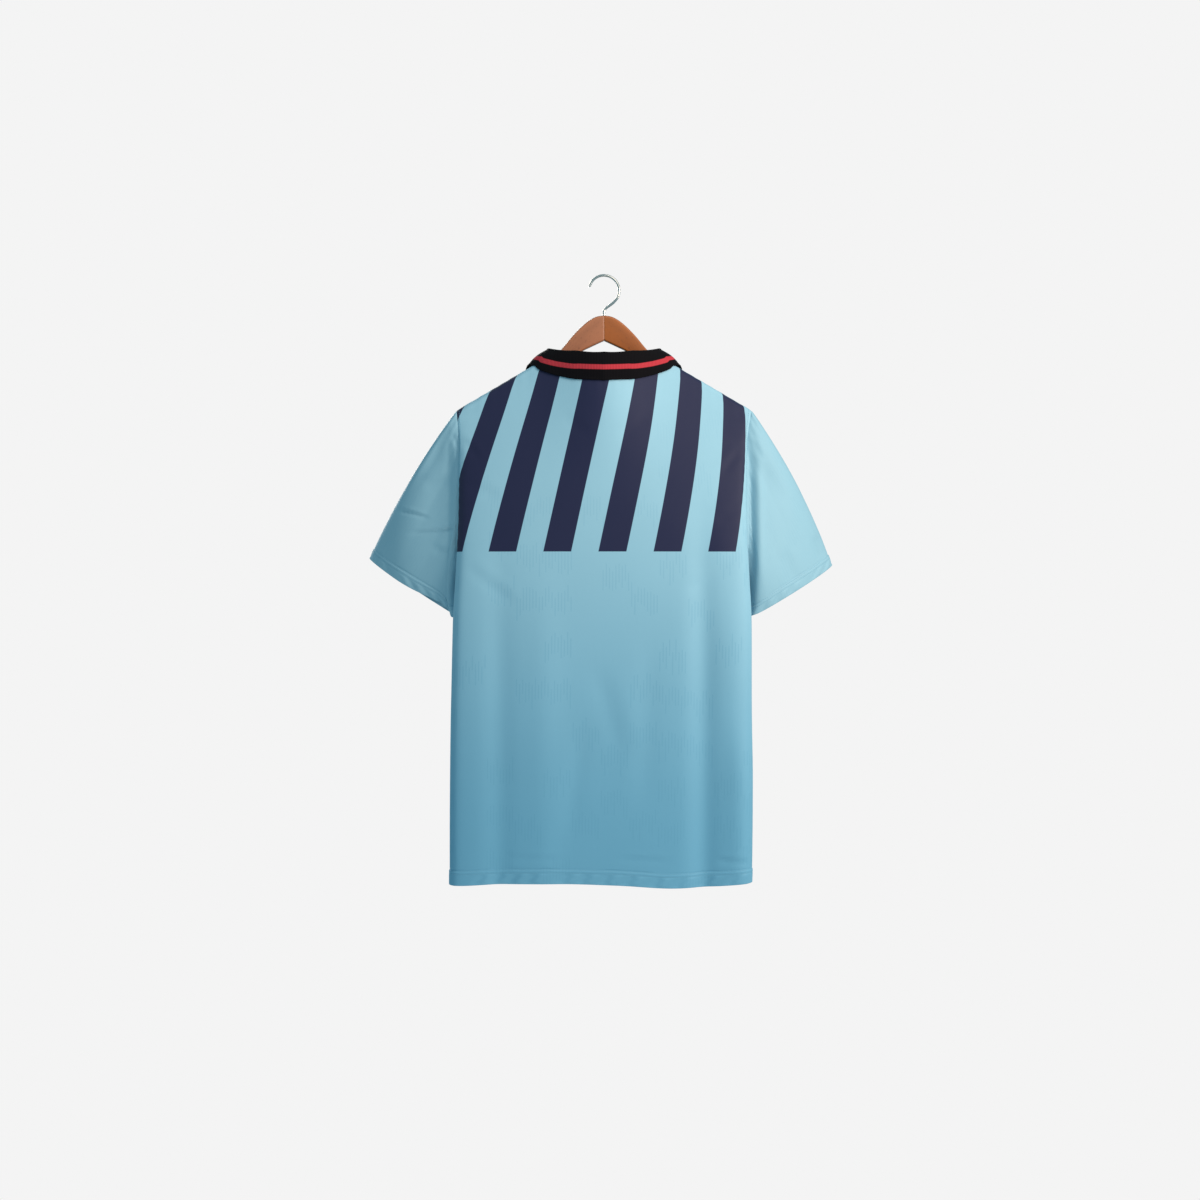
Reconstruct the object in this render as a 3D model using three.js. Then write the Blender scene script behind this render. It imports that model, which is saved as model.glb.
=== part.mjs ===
// Short-sleeved football jersey with a fold-down collar, hung on a two-piece wooden clothes hanger.
// Millimetres, +Z up, +Y towards the garment's front and +X to the wearer's right.
// The origin is the inside top of the hanger's hook, where a rail or a peg holds it.
// Every cloth piece is a thin wall: a grid of outer points, thickened towards the inside.

import * as THREE from 'three';

// Walls, hems and the gap at a seam
const CLOTH_WALL = 1.2;
const COLLAR_WALL = 1.8;
const HEM_RAISE = 0.8;
const HEM_STEP = 0.8;
const BODY_HEM_DEPTH = 20;
const SLEEVE_HEM_DEPTH = 17;
const SEAM_HALF_GAP = 0.2;
const THINNEST_MITRE = 0.5;
const SQUARE_MITRE = 1.5;

// Shoulder line, which the hanger's arms carry
const NECK_POINT = { x: 78, z: -113.4 };
const SHOULDER_TIP = { x: 211.3, z: -191.8 };
const SHOULDER_SLOPE = (NECK_POINT.z - SHOULDER_TIP.z) / (SHOULDER_TIP.x - NECK_POINT.x);
const UNDERARM_Z = -430;

// Depth of the body, front or back of the shoulder plane, by the drop below the shoulder line
const BODY_DEPTH = [
  { drop: 0, depth: 0 },
  { drop: 5, depth: 8.8 },
  { drop: 12, depth: 11 },
  { drop: 40, depth: 18 },
  { drop: 75, depth: 25.5 },
  { drop: 120, depth: 34 },
  { drop: 180, depth: 43 },
  { drop: 250, depth: 50 },
  { drop: 360, depth: 54 },
  { drop: 520, depth: 53 },
  { drop: 800, depth: 49 },
];

// Width of the body by the distance down from the origin: the half width, the inward fold of the
// side under the arm, and how far the middle has swung to the side
const BODY_WIDTH = [
  { down: 191.8, half: 211.3, dent: 0, shift: 0 },
  { down: 250, half: 206, dent: 0, shift: -1 },
  { down: 340, half: 205.5, dent: 4, shift: -2 },
  { down: 430, half: 209, dent: 12, shift: -2.2 },
  { down: 490, half: 212, dent: 16, shift: -2.5 },
  { down: 560, half: 213, dent: 13, shift: -3.2 },
  { down: 640, half: 214, dent: 9, shift: -4 },
  { down: 760, half: 214.5, dent: 6, shift: -4.8 },
  { down: 870, half: 214, dent: 4, shift: -5.5 },
];

// Half of a level section, from the middle to the side seam: shares of the half width, of the
// depth and of the side's inward fold
const HALF_SECTION = [
  { across: 0, deep: 1, dent: 0 },
  { across: 0.35, deep: 1, dent: 0 },
  { across: 0.7, deep: 0.98, dent: 0 },
  { across: 0.92, deep: 0.9, dent: 0 },
  { across: 0.985, deep: 0.76, dent: 0 },
  { across: 1, deep: 0.6, dent: 0 },
  { across: 1, deep: 0.4, dent: 0.45 },
  { across: 1, deep: 0.2, dent: 0.9 },
  { across: 1, deep: 0, dent: 1 },
];

// Where the armhole cuts the section, as a share of the depth, by its share of the way down
const ARMHOLE = [
  { way: 0, deep: 0.55 },
  { way: 0.66, deep: 0.55 },
  { way: 0.78, deep: 0.5 },
  { way: 0.87, deep: 0.4 },
  { way: 0.94, deep: 0.24 },
  { way: 1, deep: 0 },
];
const TIP_ROUNDING_DROP = 60;
const LEAST_DROP = 1;
const SECTION_SEARCH_STEPS = 30;

// Grid lines of the body: shares from the middle to the side, and down to the underarm and the hem
const NECK_SHARE = NECK_POINT.x / SHOULDER_TIP.x;
const HALF_COLUMNS = [
  0.012, 0.08, 0.16, 0.24, 0.3, 0.345, NECK_SHARE,
  0.45, 0.54, 0.63, 0.72, 0.8, 0.87, 0.92, 0.96, 1,
];
const UPPER_ROWS = [0, 0.019, 0.05, 0.11, 0.2, 0.31, 0.43, 0.55, 0.66, 0.77, 0.86, 0.94, 1];
const LOWER_ROWS = [0.06, 0.14, 0.26, 0.42, 0.6, 0.78, 0.9];

// The two panels. The neck's extra depth keeps the collar off the hanger's arms, and a hem row
// gives the edge's distance down from the origin by the share from side to side.
const PANELS = {
  back: {
    side: -1,
    neckDrop: 30,
    neckPower: 2.2,
    neckFullness: 18,
    hem: [
      { share: -1, down: 861 },
      { share: -0.82, down: 869 },
      { share: -0.55, down: 866 },
      { share: -0.25, down: 865.5 },
      { share: 0.1, down: 868 },
      { share: 0.4, down: 872 },
      { share: 0.6, down: 870 },
      { share: 0.8, down: 866 },
      { share: 1, down: 861 },
    ],
    folds: [
      { x: 139, lean: 3, width: 19, depth: -8, top: 260, bottom: 900 },
      { x: 186, lean: 2, width: 17, depth: 3, top: 300, bottom: 900 },
      { x: -90, lean: 4, width: 26, depth: 3, top: 330, bottom: 900 },
      { x: -150, lean: 2, width: 20, depth: -4, top: 300, bottom: 900 },
    ],
  },
  front: {
    side: 1,
    neckDrop: 105,
    neckPower: 1,
    neckFullness: 14,
    hem: [
      { share: -1, down: 861 },
      { share: -0.6, down: 868 },
      { share: -0.1, down: 870 },
      { share: 0.3, down: 867 },
      { share: 0.7, down: 869 },
      { share: 1, down: 861 },
    ],
    folds: [
      { x: -160, lean: 5, width: 18, depth: -8, top: 320, bottom: 900 },
      { x: -108, lean: 3, width: 22, depth: 3.5, top: 360, bottom: 900 },
      { x: 52, lean: -5, width: 24, depth: -4.5, top: 400, bottom: 900 },
      { x: 112, lean: -4, width: 22, depth: 3, top: 430, bottom: 880 },
    ],
  },
};
const NECK_FULLNESS_WIDTH = 60;
const NECK_FULLNESS_HEIGHT = 100;
const NECK_FULLNESS_DROP = 18;
const FOLD_EDGE_POWER = 4;

// Sleeves: the two ends of the cuff's long axis, its half depth, the fullness of the top line, and
// how far the cuff's outer end then swings outwards, forwards and up
const SLEEVES = {
  left: {
    side: -1, outer: { x: 337, z: -404 }, inner: { x: 209, z: -489 },
    halfDepth: 33, fullness: 7, swing: { x: 6, y: 66, z: 1 },
  },
  right: {
    side: 1, outer: { x: 327.5, z: -414 }, inner: { x: 206, z: -489 },
    halfDepth: 33, fullness: 9, swing: { x: 6, y: 62, z: 1 },
  },
};
const SWING_START = 0.06;
const SWING_POWER = 1.3;
const SLEEVE_ROWS = [0.05, 0.13, 0.24, 0.36, 0.48, 0.6, 0.72, 0.84, 0.93];
const SLEEVE_ROUNDING = 0.3;
const SLEEVE_SWELL_POWER = 0.8;
const CUFF_SAG = 4;
const UNDERARM_LIFT = 8;

// Collar by the place along the neckline, from the middle of the back at 0, over the neck points
// at 1, to the end at the front's V at 2: height of the stand, and the fall's edge
const COLLAR = [
  { place: 0, stand: 28, edgeX: 0, edgeDown: 152.5 },
  { place: 0.45, stand: 25, edgeX: 37, edgeDown: 150.3 },
  { place: 0.7, stand: 18, edgeX: 66, edgeDown: 144 },
  { place: 0.88, stand: 12, edgeX: 90, edgeDown: 135.5 },
  { place: 1, stand: 9, edgeX: 107, edgeDown: 126.8 },
  { place: 1.12, stand: 9, edgeX: 113, edgeDown: 139 },
  { place: 1.4, stand: 7, edgeX: 106, edgeDown: 179 },
  { place: 1.7, stand: 4, edgeX: 84, edgeDown: 222 },
  { place: 2, stand: 2, edgeX: 58, edgeDown: 256 },
];
const COLLAR_FOLD_RADIUS = 1.6;
const COLLAR_CLEARANCE = 1.5;
const RIDGE_CLEARANCE = 3.6;
const RIDGE_DROP = 30;
const FALL_SHARES = [0.33, 0.67, 1];

// Hanger arm by the distance from the middle joint: distances down from the origin
const ARM_HALF_THICKNESS = 5.5;
const ARM_CHAMFER = 3;
const ARM_UNDER_SHOULDER = 3.9;
const ARM_JOINT_HALF_GAP = 0.15;
const ARM_SECTIONS = [
  { x: ARM_JOINT_HALF_GAP, top: 56, bottom: 92.3 },
  { x: 9.1, top: 57.2, bottom: 96.4 },
  { x: 19.1, top: 61.7, bottom: 101.1 },
  { x: 29.3, top: 69.4, bottom: 106 },
  { x: 39.5, top: 79.3, bottom: 112 },
  { x: 47.5, top: 88, bottom: 117 },
  { x: 56.3, top: 98.9, bottom: 123 },
  { x: 74, top: 117.4, bottom: 135.5 },
];
const ARM_HIDDEN_STATIONS = [100, 130, 160, 188, 199, 203];
const ARM_END_DEPTH = 16;
const ARM_END_HALF_THICKNESS = 3.5;
const ARM_ROUND_END = [
  { x: 188, inset: 0 },
  { x: 199, inset: 1.5 },
  { x: 203, inset: 5 },
];

// Wire hook
const WIRE_RADIUS = 1.9;
const HOOK_INNER_RADIUS = 20;
const HOOK_FOOT_GAP = 0.3;
const HOOK_STEM = [
  { x: 0, rise: 0 },
  { x: 0, rise: 4 },
  { x: 2.5, rise: 10 },
];
const HOOK_SIDES = 8;
const HOOK_STEPS = 30;
const HOOK_START_ANGLE = -52;
const HOOK_END_ANGLE = 196;
const HOOK_ANGLE_STEP = 31;

const MATERIALS = {
  cloth: new THREE.MeshStandardMaterial({ color: 0x86bcd0, roughness: 0.55, metalness: 0 }),
  collar: new THREE.MeshStandardMaterial({ color: 0x14131a, roughness: 0.8, metalness: 0 }),
  paleWood: new THREE.MeshStandardMaterial({ color: 0xa87052, roughness: 0.4, metalness: 0 }),
  brownWood: new THREE.MeshStandardMaterial({ color: 0x9b5c2b, roughness: 0.4, metalness: 0 }),
  steel: new THREE.MeshStandardMaterial({ color: 0xb9bcc0, roughness: 0.25, metalness: 1 }),
};

// A column of a table at a value of its key, on straight lines between the rows
function readTable(table, key, column, value) {
  if (value <= table[0][key]) return table[0][column];
  for (let i = 1; i < table.length; i += 1) {
    const low = table[i - 1];
    const high = table[i];
    if (value <= high[key]) {
      const share = (value - low[key]) / (high[key] - low[key]);
      return THREE.MathUtils.lerp(low[column], high[column], share);
    }
  }
  return table[table.length - 1][column];
}

function shoulderHeight(x) {
  return NECK_POINT.z - (Math.abs(x) - NECK_POINT.x) * SHOULDER_SLOPE;
}

// Drop below the shoulder line, which is bridged by a smooth arc between the neck points
function dropAt(x, z) {
  const arc = (NECK_POINT.x + (x * x) / NECK_POINT.x) / 2;
  return shoulderHeight(Math.abs(x) < NECK_POINT.x ? arc : x) - z;
}

// Top edge of a panel: the shoulder line, and between the neck points its neckline
function topHeight(panel, x) {
  const share = Math.abs(x) / NECK_POINT.x;
  if (share >= 1) return shoulderHeight(x);
  return NECK_POINT.z - panel.neckDrop * (1 - share ** panel.neckPower);
}

// How far a panel stands off the shoulder plane
function bodyDepth(panel, x, z) {
  const drop = Math.max(0, dropAt(x, z));
  const neckHeight = NECK_POINT.z - panel.neckDrop;
  const fullness = panel.neckFullness
    * Math.exp(-((x / NECK_FULLNESS_WIDTH) ** 2))
    * Math.exp(-(((neckHeight - z) / NECK_FULLNESS_HEIGHT) ** 2))
    * Math.min(1, drop / NECK_FULLNESS_DROP);
  return readTable(BODY_DEPTH, 'drop', 'depth', drop) + fullness;
}

// Hanging folds: soft upright ridges, and troughs where the depth is below zero
function foldDepth(panel, x, z) {
  let depth = 0;
  for (const fold of panel.folds) {
    const share = THREE.MathUtils.smoothstep(-z, fold.top, (fold.top + fold.bottom) / 2);
    const middle = fold.x + fold.lean * share;
    depth += fold.depth * share * Math.exp(-(((x - middle) / fold.width) ** 2));
  }
  return depth;
}

function halfSection(half, depth, dent) {
  const points = HALF_SECTION.map((row) => (
    new THREE.Vector2(half * row.across - dent * row.dent, depth * row.deep)
  ));
  return new THREE.SplineCurve(points);
}

// Share of a section's length at which its depth has come down to a given share
function shareAtDepth(section, depth, deep) {
  let low = 0.5;
  let high = 1;
  for (let i = 0; i < SECTION_SEARCH_STEPS; i += 1) {
    const middle = (low + high) / 2;
    if (section.getPointAt(middle).y > depth * deep) low = middle;
    else high = middle;
  }
  return low;
}

function columnShares() {
  const left = [...HALF_COLUMNS].reverse().map((share) => -share);
  return [...left, ...HALF_COLUMNS];
}

function newVertex(point) {
  return { point, normal: new THREE.Vector3(), mitre: null, shift: new THREE.Vector3(), raise: 0 };
}

// Section of one row of the body, with the share of it that the panel takes up
function bodyRow(down, armholeDeep) {
  const half = readTable(BODY_WIDTH, 'down', 'half', down);
  const dent = readTable(BODY_WIDTH, 'down', 'dent', down);
  const shift = readTable(BODY_WIDTH, 'down', 'shift', down);
  const drop = Math.max(LEAST_DROP, down + SHOULDER_TIP.z);
  const depth = readTable(BODY_DEPTH, 'drop', 'depth', drop);
  const section = halfSection(half, depth, dent);
  const reach = armholeDeep > 0 ? shareAtDepth(section, depth, armholeDeep) : 1;
  return { section, depth, shift, reach };
}

function bodyPoint(panel, row, share, heightAt) {
  const flat = row.section.getPointAt(Math.abs(share) * row.reach);
  const x = Math.sign(share) * flat.x + row.shift;
  const z = heightAt(x);
  const drop = Math.max(0, dropAt(x, z));
  const rounding = Math.min(1, drop / TIP_ROUNDING_DROP);
  const deep = 1 - (1 - flat.y / row.depth) * rounding;
  const folds = foldDepth(panel, x, z) * Math.min(1, deep ** FOLD_EDGE_POWER);
  const atSideSeam = row.reach === 1 && Math.abs(share) === 1;
  const y = atSideSeam ? 0 : bodyDepth(panel, x, z) * deep + folds;
  return new THREE.Vector3(x, panel.side * y, z);
}

function panelGrid(panel) {
  const shares = columnShares();
  const grid = UPPER_ROWS.map((way) => {
    const down = THREE.MathUtils.lerp(-SHOULDER_TIP.z, -UNDERARM_Z, way);
    const row = bodyRow(down, readTable(ARMHOLE, 'way', 'deep', way));
    return shares.map((share) => newVertex(bodyPoint(panel, row, share, (x) => (
      THREE.MathUtils.lerp(topHeight(panel, x), UNDERARM_Z, way)
    ))));
  });
  const hemTopWay = (down) => 1 - BODY_HEM_DEPTH / (down + UNDERARM_Z);
  const addRow = (wayAt, raise) => {
    grid.push(shares.map((share) => {
      const hem = readTable(panel.hem, 'share', 'down', share);
      const down = THREE.MathUtils.lerp(-UNDERARM_Z, hem, wayAt(hem));
      const vertex = newVertex(bodyPoint(panel, bodyRow(down, 0), share, () => -down));
      vertex.raise = raise;
      return vertex;
    }));
  };
  for (const way of LOWER_ROWS) addRow(() => way, 0);
  addRow((hem) => hemTopWay(hem), 0);
  addRow((hem) => hemTopWay(hem) + HEM_STEP / (hem + UNDERARM_Z), HEM_RAISE);
  addRow(() => 1, HEM_RAISE);
  return grid;
}

// The armhole's loop: tip, down the back edge, underarm, up the front edge
function armholeLoop(backGrid, frontGrid, side) {
  const column = side > 0 ? backGrid[0].length - 1 : 0;
  const last = UPPER_ROWS.length - 1;
  const loop = [{ body: [backGrid[0][column], frontGrid[0][column]] }];
  for (let row = 1; row < last; row += 1) loop.push({ body: [backGrid[row][column]] });
  loop.push({ body: [backGrid[last][column], frontGrid[last][column]] });
  for (let row = last - 1; row > 0; row -= 1) loop.push({ body: [frontGrid[row][column]] });
  return loop;
}

function sleeveGrid(sleeve, loop) {
  const outer = new THREE.Vector3(sleeve.side * sleeve.outer.x, 0, sleeve.outer.z);
  const inner = new THREE.Vector3(sleeve.side * sleeve.inner.x, 0, sleeve.inner.z);
  const swing = new THREE.Vector3(sleeve.side * sleeve.swing.x, sleeve.swing.y, sleeve.swing.z);
  const middle = outer.clone().lerp(inner, 0.5);
  const longAxis = outer.clone().sub(middle);
  const start = loop[0].body[0].point;
  const topLine = outer.clone().sub(start).normalize();
  const outward = new THREE.Vector3(-topLine.z * sleeve.side, 0, topLine.x * sleeve.side);
  const rows = [
    ...[0, ...SLEEVE_ROWS, 1].map((share) => ({ share, below: 0, raise: 0 })),
    { share: 1, below: HEM_STEP, raise: HEM_RAISE },
    { share: 1, below: SLEEVE_HEM_DEPTH, raise: HEM_RAISE },
  ];
  return rows.map(({ share, below, raise }) => loop.map((place, index) => {
    const angle = (2 * Math.PI * index) / loop.length;
    const cuff = middle.clone().addScaledVector(longAxis, Math.cos(angle));
    cuff.y = -sleeve.halfDepth * Math.sin(angle);
    cuff.z -= CUFF_SAG * Math.abs(Math.sin(angle));
    const seam = place.body[0].point;
    const length = seam.distanceTo(cuff);
    const way = share * (1 - SLEEVE_HEM_DEPTH / length) + below / length;
    const point = seam.clone().lerp(cuff, way);
    const arch = Math.max(0, Math.sin(Math.PI * way));
    const swell = arch ** SLEEVE_SWELL_POWER;
    point.y *= 1 + SLEEVE_ROUNDING * swell;
    const topShare = Math.max(0, Math.cos(angle));
    point.addScaledVector(outward, sleeve.fullness * swell * topShare);
    const lift = UNDERARM_LIFT * Math.sqrt(arch) * Math.max(0, -Math.cos(angle));
    point.x += sleeve.side * lift;
    const swung = Math.max(0, (way - SWING_START) / (1 - SWING_START)) ** SWING_POWER;
    point.addScaledVector(swing, (0.5 + 0.5 * Math.cos(angle)) * swung);
    const vertex = newVertex(point);
    vertex.raise = raise;
    return vertex;
  }));
}

// The neckline's loop: from the front's V round the right neck point, the back and the left one
function neckLoop(backGrid, frontGrid) {
  const shares = columnShares();
  const right = shares.indexOf(NECK_SHARE);
  const left = shares.indexOf(-NECK_SHARE);
  const station = (column, body, place) => ({ body, place, side: Math.sign(shares[column]) });
  const loop = [];
  for (let i = HALF_COLUMNS.length; i < right; i += 1) {
    loop.push(station(i, [frontGrid[0][i]], 2 - shares[i] / NECK_SHARE));
  }
  for (let i = right; i >= left; i -= 1) {
    const body = i === right || i === left ? [backGrid[0][i], frontGrid[0][i]] : [backGrid[0][i]];
    loop.push(station(i, body, Math.abs(shares[i]) / NECK_SHARE));
  }
  for (let i = left + 1; i < HALF_COLUMNS.length; i += 1) {
    loop.push(station(i, [frontGrid[0][i]], 2 + shares[i] / NECK_SHARE));
  }
  return loop;
}

// Moves a point of the collar's fall out until it clears the panel under it
function clearOfBody(point, panel) {
  const drop = dropAt(point.x, point.z);
  if (drop <= 0) return;
  const clearance = COLLAR_CLEARANCE + RIDGE_CLEARANCE * Math.max(0, 1 - drop / RIDGE_DROP);
  const least = bodyDepth(panel, point.x, point.z) + clearance;
  if (point.y * panel.side < least) point.y = panel.side * least;
}

function collarColumn(station) {
  const { place, side } = station;
  const seam = station.body[0].point;
  const panel = place <= 1 ? PANELS.back : PANELS.front;
  const stand = readTable(COLLAR, 'place', 'stand', place);
  const turn = (place * Math.PI) / 2;
  const out = new THREE.Vector3(side * Math.sin(turn), -Math.cos(turn), 0);
  const standTop = seam.clone().add(new THREE.Vector3(0, 0, stand));
  const foldTop = standTop.clone().addScaledVector(out, COLLAR_FOLD_RADIUS);
  foldTop.z += COLLAR_FOLD_RADIUS;
  const foldOut = standTop.clone().addScaledVector(out, 2 * COLLAR_FOLD_RADIUS);
  const edge = new THREE.Vector3(
    side * readTable(COLLAR, 'place', 'edgeX', place),
    0,
    -readTable(COLLAR, 'place', 'edgeDown', place),
  );
  if (place !== 1) clearOfBody(edge, panel);
  const column = [seam.clone(), seam.clone().lerp(standTop, 0.5), standTop, foldTop, foldOut];
  for (const share of FALL_SHARES) {
    const point = foldOut.clone().lerp(edge, share);
    if (place !== 1) clearOfBody(point, panel);
    column.push(point);
  }
  return column;
}

function collarGrid(loop) {
  const columns = loop.map(collarColumn);
  return columns[0].map((_, row) => columns.map((column) => newVertex(column[row])));
}

// Outward normals of a grid from the neighbours of each point
function setNormals(grid, sign, closed) {
  const rows = grid.length;
  const columns = grid[0].length;
  for (let r = 0; r < rows; r += 1) {
    for (let c = 0; c < columns; c += 1) {
      const up = grid[Math.max(0, r - 1)][c].point;
      const down = grid[Math.min(rows - 1, r + 1)][c].point;
      const before = closed ? (c + columns - 1) % columns : Math.max(0, c - 1);
      const after = closed ? (c + 1) % columns : Math.min(columns - 1, c + 1);
      const along = grid[r][after].point.clone().sub(grid[r][before].point);
      const normal = along.cross(down.clone().sub(up));
      grid[r][c].normal.copy(normal.multiplyScalar(sign).normalize());
    }
  }
}

// Shoulder and side seams: the panels share one normal there and part along Y
function joinPanels(backGrid, frontGrid) {
  backGrid.forEach((row, r) => row.forEach((back, c) => {
    const front = frontGrid[r][c];
    if (back.point.y !== 0 || front.point.y !== 0) return;
    const mitre = back.normal.clone().add(front.normal).normalize();
    back.mitre = mitre;
    front.mitre = mitre;
    back.shift.y -= SEAM_HALF_GAP;
    front.shift.y += SEAM_HALF_GAP;
  }));
}

// A sleeve's or the collar's edge meets the body's edge on one mitre face, a gap apart. Where the
// two walls fold back on each other, the face stands square to the loop, in the plane across axis.
function joinLoop(loop, edge, sign, axis) {
  const points = loop.map((place) => place.body[0].point);
  loop.forEach((place, i) => {
    const before = points[(i + points.length - 1) % points.length];
    const after = points[(i + 1) % points.length];
    const bodyNormal = new THREE.Vector3();
    for (const vertex of place.body) bodyNormal.add(vertex.normal);
    const tangent = after.clone().sub(before).normalize();
    const square = tangent.clone().cross(axis).normalize();
    const mitre = bodyNormal.normalize().add(edge[i].normal).addScaledVector(square, SQUARE_MITRE);
    mitre.normalize();
    const across = mitre.clone().cross(tangent).normalize();
    across.multiplyScalar(sign * SEAM_HALF_GAP);
    for (const vertex of place.body) {
      vertex.mitre = mitre;
      vertex.shift.sub(across);
    }
    edge[i].mitre = mitre;
    edge[i].shift.add(across);
  });
}

// The closed wall of a grid: outer face, inner face and the strips along its edges
function wallGeometry(grid, wall, closed) {
  const rows = grid.length;
  const columns = grid[0].length;
  const positions = [];
  const index = [];
  const layer = rows * columns;
  for (const inside of [0, 1]) {
    for (const vertex of grid.flat()) {
      const direction = vertex.mitre ?? vertex.normal;
      const lean = Math.max(THINNEST_MITRE, direction.dot(vertex.normal));
      const depth = inside ? -wall / lean : vertex.raise;
      const point = vertex.point.clone().addScaledVector(direction, depth).add(vertex.shift);
      positions.push(point.x, point.y, point.z);
    }
  }
  const at = (inside, r, c) => inside * layer + r * columns + (c % columns);
  const quad = (a, b, c, d) => index.push(a, b, c, a, c, d);
  const spans = closed ? columns : columns - 1;
  for (let r = 0; r < rows - 1; r += 1) {
    for (let c = 0; c < spans; c += 1) {
      quad(at(0, r, c), at(0, r, c + 1), at(0, r + 1, c + 1), at(0, r + 1, c));
      quad(at(1, r, c), at(1, r + 1, c), at(1, r + 1, c + 1), at(1, r, c + 1));
    }
  }
  for (let c = 0; c < spans; c += 1) {
    quad(at(0, 0, c), at(1, 0, c), at(1, 0, c + 1), at(0, 0, c + 1));
    quad(at(0, rows - 1, c), at(0, rows - 1, c + 1), at(1, rows - 1, c + 1), at(1, rows - 1, c));
  }
  if (!closed) {
    const last = columns - 1;
    for (let r = 0; r < rows - 1; r += 1) {
      quad(at(0, r, 0), at(0, r + 1, 0), at(1, r + 1, 0), at(1, r, 0));
      quad(at(0, r, last), at(1, r, last), at(1, r + 1, last), at(0, r + 1, last));
    }
  }
  return solidGeometry(positions, index);
}

// A closed solid from points and triangles, with its faces turned outwards
function solidGeometry(positions, index) {
  const geometry = new THREE.BufferGeometry();
  geometry.setAttribute('position', new THREE.Float32BufferAttribute(positions, 3));
  let volume = 0;
  const [a, b, c] = [new THREE.Vector3(), new THREE.Vector3(), new THREE.Vector3()];
  for (let i = 0; i < index.length; i += 3) {
    a.fromArray(positions, index[i] * 3);
    b.fromArray(positions, index[i + 1] * 3);
    c.fromArray(positions, index[i + 2] * 3);
    volume += a.dot(b.cross(c));
  }
  geometry.setIndex(volume < 0 ? [...index].reverse() : index);
  geometry.computeVertexNormals();
  return geometry;
}

// Solid through rings of points, closed by flat ends
function ringSolid(rings) {
  const sides = rings[0].length;
  const index = [];
  rings.slice(1).forEach((_, r) => {
    for (let s = 0; s < sides; s += 1) {
      const next = (s + 1) % sides;
      const low = r * sides;
      const high = low + sides;
      index.push(low + s, low + next, high + next, low + s, high + next, high + s);
    }
  });
  const end = (rings.length - 1) * sides;
  for (let s = 1; s < sides - 1; s += 1) {
    index.push(0, s + 1, s);
    index.push(end, end + s, end + s + 1);
  }
  return solidGeometry(rings.flat().flatMap((point) => point.toArray()), index);
}

// Chamfered oblong section of a hanger arm at one distance from the joint
function armRing(side, x, top, bottom, halfThickness) {
  const y = halfThickness;
  const c = ARM_CHAMFER;
  const corners = [
    [y - c, top], [y, top - c], [y, bottom + c], [y - c, bottom],
    [c - y, bottom], [-y, bottom + c], [-y, top - c], [c - y, top],
  ];
  return corners.map(([across, z]) => new THREE.Vector3(side * x, across, z));
}

function armGeometry(side) {
  const rings = ARM_SECTIONS.map((row) => armRing(side, row.x, -row.top, -row.bottom, ARM_HALF_THICKNESS));
  const shown = ARM_SECTIONS[ARM_SECTIONS.length - 1];
  const end = ARM_HIDDEN_STATIONS[ARM_HIDDEN_STATIONS.length - 1];
  for (const x of ARM_HIDDEN_STATIONS) {
    const inset = readTable(ARM_ROUND_END, 'x', 'inset', x);
    const way = (x - shown.x) / (end - shown.x);
    const top = shoulderHeight(x) - ARM_UNDER_SHOULDER;
    const depth = THREE.MathUtils.lerp(shown.bottom - shown.top, ARM_END_DEPTH, way);
    const half = Math.max(ARM_HALF_THICKNESS - inset / 2, ARM_END_HALF_THICKNESS);
    rings.push(armRing(side, x, top - inset, top - depth + inset, half));
  }
  return ringSolid(rings);
}

// Wire bent up from the joint of the arms, out to one side and over the top
function hookGeometry() {
  const radius = HOOK_INNER_RADIUS + WIRE_RADIUS;
  const foot = -ARM_SECTIONS[0].top + HOOK_FOOT_GAP;
  const points = HOOK_STEM.map((row) => new THREE.Vector3(row.x, 0, foot + row.rise));
  for (let angle = HOOK_START_ANGLE; angle <= HOOK_END_ANGLE; angle += HOOK_ANGLE_STEP) {
    const turn = THREE.MathUtils.degToRad(angle);
    const height = radius * Math.sin(turn) - HOOK_INNER_RADIUS;
    points.push(new THREE.Vector3(radius * Math.cos(turn), 0, height));
  }
  const path = new THREE.CatmullRomCurve3(points);
  const section = new THREE.Shape();
  section.absarc(0, 0, WIRE_RADIUS, 0, 2 * Math.PI);
  return new THREE.ExtrudeGeometry(section, {
    steps: HOOK_STEPS,
    curveSegments: HOOK_SIDES / 2,
    extrudePath: path,
  });
}

function addPiece(group, name, geometry, material) {
  const mesh = new THREE.Mesh(geometry, material);
  mesh.name = name;
  group.add(mesh);
}

const jersey = new THREE.Group();
const back = panelGrid(PANELS.back);
const front = panelGrid(PANELS.front);
setNormals(back, PANELS.back.side, false);
setNormals(front, PANELS.front.side, false);
joinPanels(back, front);

for (const [name, sleeve] of Object.entries(SLEEVES)) {
  const loop = armholeLoop(back, front, sleeve.side);
  const grid = sleeveGrid(sleeve, loop);
  setNormals(grid, sleeve.side, true);
  joinLoop(loop, grid[0], sleeve.side, new THREE.Vector3(1, 0, 0));
  addPiece(jersey, `sleeve_${name}`, wallGeometry(grid, CLOTH_WALL, true), MATERIALS.cloth);
}

const neck = neckLoop(back, front);
const collar = collarGrid(neck);
setNormals(collar, -1, false);
joinLoop(neck, collar[0], -1, new THREE.Vector3(0, 0, 0));

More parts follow.
